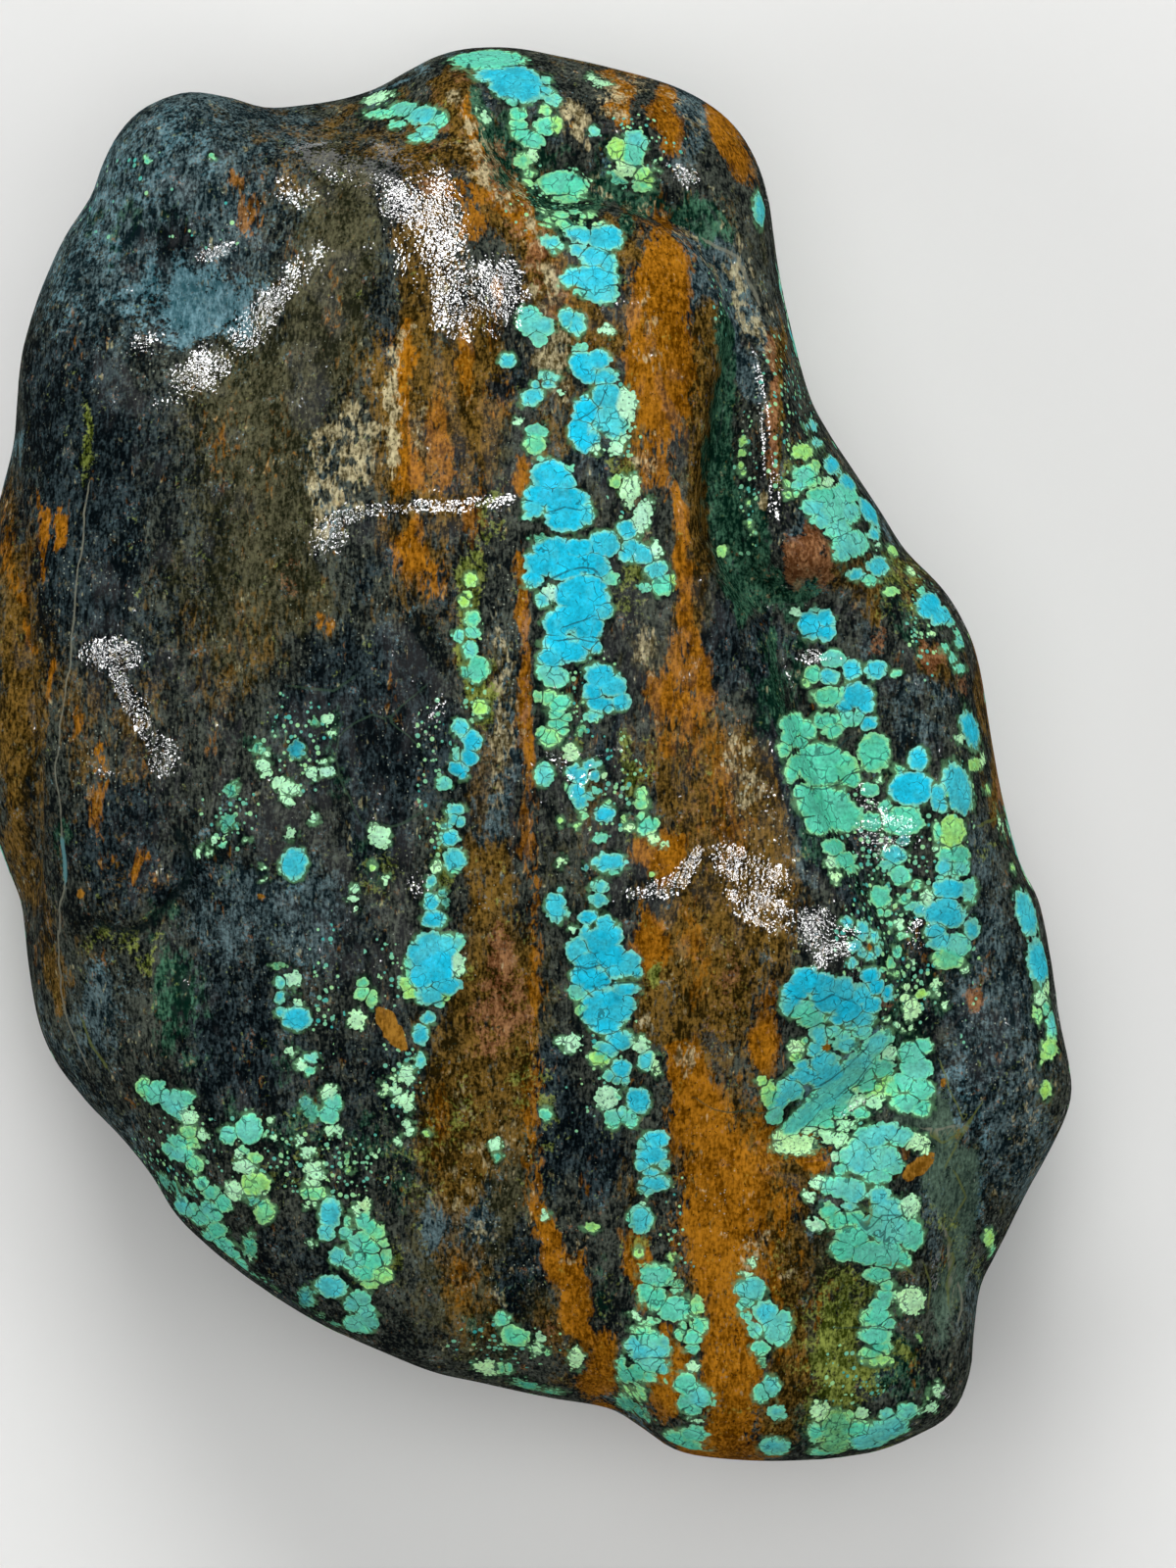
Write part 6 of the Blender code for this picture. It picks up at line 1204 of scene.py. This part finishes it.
    # ---- nodules
    fields, field_4 = g.attribute("nodule_fields")
    f1, f2, f3 = g.split(fields)
    wavy, wavy_rgb = g.noise(mm, 2.6, 1.0, 0.5)
    w1, w2, w3 = g.split(wavy_rgb)
    lumps = g.cells(mm, 3.0)
    lump = g.math("MULTIPLY_ADD", lumps.outputs["Distance"], -3.6, 2.0)
    heights = []
    for f, w in ((f1, w1), (f2, w2), (f3, w3), (field_4, wavy)):
        f = g.math("MULTIPLY_ADD", f, 40.0, FIELD_FLOOR)
        heights.append(g.math("MULTIPLY_ADD", g.math("SUBTRACT", w, 0.5), 4.2, f))
    high_a, low_a = g.math("MAXIMUM", heights[0], heights[1]), g.math("MINIMUM", heights[0], heights[1])
    high_b, low_b = g.math("MAXIMUM", heights[2], heights[3]), g.math("MINIMUM", heights[2], heights[3])
    top = g.math("MAXIMUM", high_a, high_b)
    second = g.math("MAXIMUM", g.math("MINIMUM", high_a, high_b), g.math("MAXIMUM", low_a, low_b))
    look, tint = g.attribute("nodule_look")
    hue, pale, dim = g.split(look)
    crumble = g.math("MULTIPLY", g.math("MAXIMUM", pale, dim), g.math("MULTIPLY_ADD", flecks.outputs["Distance"], -5.0, 2.4))
    lump = g.math("ADD", lump, crumble)
    ragged = g.math("ADD", top, g.math("MULTIPLY_ADD", g.math("SUBTRACT", fine_r, 0.5), 2.0, lump))
    inside = g.step(ragged, -0.8, 0.5)

    hue = g.math("MULTIPLY_ADD", g.math("SUBTRACT", mid_b, 0.5), 0.30, hue)
    hue = g.math("MULTIPLY_ADD", g.step(ragged, 4.5, -0.5), 0.24, hue)
    ramp = g.node("ShaderNodeValToRGB")
    g.feed(ramp.inputs[0], hue)
    stops = [(0.0, srgb(26, 176, 206)), (0.2, srgb(72, 184, 192)), (0.38, srgb(102, 190, 170)), (0.55, srgb(84, 198, 164)),
             (0.75, srgb(124, 202, 136)), (0.95, srgb(158, 212, 98))]
    elements = ramp.color_ramp.elements
    while len(elements) < len(stops):
        elements.new(0.5)
    for element, (position, value) in zip(elements, stops):
        element.position = position
        element.color = value
    blue = ramp.outputs[0]
    blue = g.mix(g.math("MULTIPLY", pale, 0.62), blue, srgb(200, 238, 192))
    edge = g.step(ragged, 3.4, -0.4)
    blue = g.mix(g.math("MULTIPLY", edge, 0.36), blue, srgb(158, 226, 186))
    shade = g.math("MULTIPLY_ADD", g.math("SUBTRACT", mid_g, 0.5), 1.25, 1.09)
    shade = g.math("MULTIPLY_ADD", g.math("SUBTRACT", fine_b, 0.5), 0.8, shade)
    shade = g.math("MULTIPLY_ADD", g.math("SUBTRACT", tint, 0.5), 0.16, shade)
    shade = g.math("MULTIPLY_ADD", dim, -0.38, shade)
    blue = g.vector("SCALE", blue, scale=shade)
    specks = g.cells(mm, 3.6)
    speck = g.math("MULTIPLY", g.step(specks.outputs["Distance"], 0.16, 0.08), g.math("GREATER_THAN", g.split(specks.outputs["Color"])[1], 0.8))
    blue = g.mix(g.math("MULTIPLY", speck, 0.45), blue, srgb(36, 98, 92))
    inclusions = g.math("MULTIPLY", g.step(fine_g, 0.40, 0.32), g.math("MULTIPLY_ADD", g.math("MAXIMUM", pale, dim), 0.5, 0.25))
    blue = g.mix(inclusions, blue, srgb(30, 84, 70))

    # Cracks where two nodules meet: strong at the notches, broken and faint deeper in.
    gap = g.math("SUBTRACT", top, second)
    deep = g.step(second, 0.5, 7.0, 1.0, 0.10)
    width = g.math("MULTIPLY", g.step(mid_r, 0.40, 0.66, 0.1, 1.0), deep)
    width = g.math("MULTIPLY", width, g.math("MULTIPLY_ADD", hue, 1.5, 0.7))
    crack = g.step(gap, g.math("ADD", width, 0.5), g.math("MULTIPLY", width, 0.4))
    crack = g.math("MULTIPLY", crack, g.step(width, 0.12, 0.40))
    web = g.cells(g.vector("ADD", mm, g.vector("SCALE", wavy_rgb, scale=0.30)), 1.55, "DISTANCE_TO_EDGE")
    web_width = g.math("MULTIPLY", g.step(mid_g, 0.43, 0.62, 0.0, 0.046), g.step(hue, 0.0, 0.4, 0.45, 1.0))
    webbing = g.math("MULTIPLY", g.step(web.outputs["Distance"], g.math("ADD", web_width, 0.016), web_width), g.step(web_width, 0.003, 0.016))
    crack = g.math("MAXIMUM", crack, g.math("MULTIPLY", webbing, 0.7))
    line_colour, dust = g.attribute("line")
    line_x, pock_here, _ = g.split(line_colour)
    vein_colour, vein_near = g.attribute("vein")
    signed = g.math("ABSOLUTE", g.math("MULTIPLY_ADD", g.math("SUBTRACT", line_x, 0.5), 24.0, g.math("MULTIPLY_ADD", fine, 0.8, -0.4)))
    vein = g.math("MULTIPLY", g.step(signed, 1.5, 0.6), g.math("MULTIPLY", vein_near, g.step(mid_b, 0.30, 0.46, 0.35, 1.0)))

    warm = g.math("MAXIMUM", g.math("MULTIPLY", ochre_w, 0.85), g.math("MULTIPLY", brown_w, 0.6))
    halo = g.math("MULTIPLY", g.step(ragged, -7.0, -0.6), g.step(mid_b, 0.36, 0.56, 0.25, 0.9))
    halo = g.math("MULTIPLY", halo, g.math("SUBTRACT", 1.0, warm, clamp=True))
    colour = g.mix(halo, colour, srgb(7, 18, 15))
    # A faint mint bleed round some of them.
    bleed = g.math("MULTIPLY", g.step(ragged, -4.4, -0.6), g.step(mid_g, 0.42, 0.62, 0.0, 0.6))
    colour = g.mix(bleed, colour, srgb(106, 158, 112))
    # Dust of tiny beads.
    lump_r, lump_g, _ = g.split(lumps.outputs["Color"])
    bead = g.math("MULTIPLY", g.step(lumps.outputs["Distance"], 0.42, 0.32), g.math("LESS_THAN", lump_r, g.math("MULTIPLY", dust, 0.55)))
    small = g.math("MULTIPLY", g.step(flecks.outputs["Distance"], 0.40, 0.28), g.math("LESS_THAN", fleck_g, g.math("MULTIPLY", dust, 0.45)))
    bead_colour = g.mix(lump_g, srgb(56, 164, 158), srgb(164, 220, 152))
    colour = g.mix(g.math("MULTIPLY", g.math("MAXIMUM", bead, small), 0.92), colour, bead_colour)
    _, _, lens_x = g.split(line_colour)
    lens = g.math("MULTIPLY_ADD", lens_x, 40.0, g.math("MULTIPLY_ADD", wavy, 5.0, g.math("MULTIPLY_ADD", fine_b, 2.4, -23.7)))
    colour = g.mix(g.step(lens, -0.6, 0.5), colour, g.mix(g.step(grain, 0.36, 0.64), srgb(100, 66, 14), srgb(164, 118, 44)))
    blue = g.mix(g.math("MULTIPLY", crack, 0.9), blue, srgb(18, 52, 48))
    colour = g.mix(inside, colour, blue)
    # Drawn veins and cracks, with a painted shadow along the chipped edge and a painted sheen on the groove's lip.
    colour = g.mix(g.math("MULTIPLY", vein, 0.7), colour, vein_colour)
    g.feed(shader.inputs["Base Color"], colour)

    # ---- surface: a fine grain in the rock, smoother on the nodules, and a polish broken by patches of tiny pits
    relief_fibre, _ = g.noise(upright, 5.0, 1.0, 0.6)
    bump = g.node("ShaderNodeBump")
    bump.inputs["Strength"].default_value = 1.0
    bump.inputs["Distance"].default_value = 0.001
    g.feed(bump.inputs["Height"], g.math("MULTIPLY", relief_fibre, 0.08))
    g.feed(shader.inputs["Normal"], bump.outputs[0])

    micro, _ = g.noise(mm, 4.6, 1.0, 0.6)
    film = g.node("ShaderNodeBump")
    film.inputs["Strength"].default_value = 1.0
    film.inputs["Distance"].default_value = 0.001
    g.feed(film.inputs["Height"], g.math("MULTIPLY", micro, g.math("MULTIPLY_ADD", pock_here, 0.040, 0.003)))
    g.feed(shader.inputs["Coat Normal"], film.outputs[0])
    polish = g.math("MULTIPLY_ADD", g.math("SUBTRACT", mid_b, 0.5), 1.5, g.math("MULTIPLY", pock_here, 0.84))
    polish = g.math("MULTIPLY_ADD", g.math("SUBTRACT", fine_g, 0.5), 1.7, polish)
    polish = g.step(g.math("MULTIPLY", polish, g.step(pock_here, 0.0, 0.4, 0.72, 1.0)), 0.36, 0.55)
    g.feed(shader.inputs["Coat Weight"], g.math("MULTIPLY_ADD", polish, 0.985, 0.015))
    g.feed(shader.inputs["Coat Roughness"], g.math("MULTIPLY_ADD", polish, -0.07, 0.11))
    shader.inputs["Coat IOR"].default_value = 1.6
    shader.inputs["Specular IOR Level"].default_value = 0.0
    g.feed(shader.inputs["Roughness"], g.step(inside, 0.0, 1.0, 0.55, 0.38))
    return m


def floor_material():
    m = bpy.data.materials.new("pale_floor")
    m.use_nodes = True
    shader = m.node_tree.nodes["Principled BSDF"]
    shader.inputs["Base Color"].default_value = (0.70, 0.70, 0.69, 1.0)
    shader.inputs["Roughness"].default_value = 0.8
    return m


# ---- the scene ---------------------------------------------------------------------------------------------------
scene = bpy.context.scene
stone_data = stone_mesh()
stone_data.shade_smooth()
stone_data.materials.append(stone_material())
stone = bpy.data.objects.new("polished_stone", stone_data)
scene.collection.objects.link(stone)
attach(stone, "root")
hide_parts("turquoise_nugget")

floor_mesh = bpy.data.meshes.new("floor")
half = 3.0
floor_mesh.from_pydata([(-half, -half, 0), (half, -half, 0), (half, half, 0), (-half, half, 0)], [], [(0, 1, 2, 3)])
floor_mesh.materials.append(floor_material())
floor = bpy.data.objects.new("floor", floor_mesh)
floor.location = (0, 0, -0.0001)
scene.collection.objects.link(floor)

world = bpy.data.worlds.new("studio")
world.use_nodes = True
world.node_tree.nodes["Background"].inputs["Color"].default_value = (1.0, 1.0, 1.0, 1.0)
world.node_tree.nodes["Background"].inputs["Strength"].default_value = 0.07
scene.world = world
scene.view_settings.view_transform = "Standard"


def aimed(azimuth, elevation, distance=0.85):
    a, e = math.radians(azimuth), math.radians(elevation)
    return (distance * math.cos(e) * math.cos(a), distance * math.cos(e) * math.sin(a), distance * math.sin(e))


def lamp(name, place, size, power, glint=False):
    data = bpy.data.lights.new(name, "AREA")
    data.shape = "DISK"
    data.size = size
    data.energy = power
    obj = bpy.data.objects.new(name, data)
    obj.location = place
    obj.rotation_euler = (Vector(place) - Vector((0.0, 0.0, 0.012))).to_track_quat("Z", "Y").to_euler()
    obj.visible_glossy = glint
    obj.visible_diffuse = not glint
    obj.visible_camera = False
    scene.collection.objects.link(obj)


# Broad fills for the colour, and small lamps that only glint on the polish: azimuth, elevation, size in m, radiance.
lamp("fill_above", (0.0, 0.0, 1.3), 0.9, 7.8)
lamp("fill_head", aimed(96, 40, 1.1), 0.5, 7.3)
lamp("fill_left", aimed(190, 38, 1.1), 0.5, 2.6)
lamp("fill_right", aimed(-5, 38, 1.1), 0.5, 2.6)
GLINTS = [
    (92, 26, 0.15, 34.0), (100, 10, 0.17, 34.0), (20, 62, 0.13, 26.0), (-124, 65, 0.10, 26.0), (80, 71, 0.10, 26.0), (0, 53, 0.10, 26.0), (86, 44, 0.22, 34.0), (92, 66, 0.13, 34.0), (54, 46, 0.16, 28.0), (142, 34, 0.19, 32.0),
    (171, 26, 0.12, 26.0), (150, 24, 0.13, 26.0), (171, 40, 0.11, 26.0), (112, 22, 0.12, 26.0), (103, 71, 0.08, 26.0), (153, 65, 0.12, 28.0), (-178, 26, 0.12, 26.0),
    (-168, 42, 0.10, 26.0), (-148, 58, 0.14, 28.0), (6, 49, 0.09, 26.0), (-46, 63, 0.15, 28.0), (-12, 48, 0.12, 26.0),
    (12, 38, 0.15, 26.0), (34, 44, 0.12, 26.0), (8, 22, 0.15, 26.0), (46, 54, 0.08, 26.0), (160, 44, 0.10, 26.0), (-24, 52, 0.11, 26.0),
]
for k, (azimuth, elevation, size, radiance) in enumerate(GLINTS):
    lamp("glint_%d" % k, aimed(azimuth, elevation), size, radiance * math.pi * math.pi * size * size / 4, glint=True)

camera_data = bpy.data.cameras.new("camera")
camera_data.lens = 202.5
camera_data.sensor_width = 36.0
camera_data.clip_start = 0.01
camera_data.clip_end = 20.0
camera = bpy.data.objects.new("camera", camera_data)
camera.location = (0.0034, -0.0016, 0.463)
camera.rotation_euler = (0.0, 0.0, 0.0)
scene.collection.objects.link(camera)
scene.camera = camera
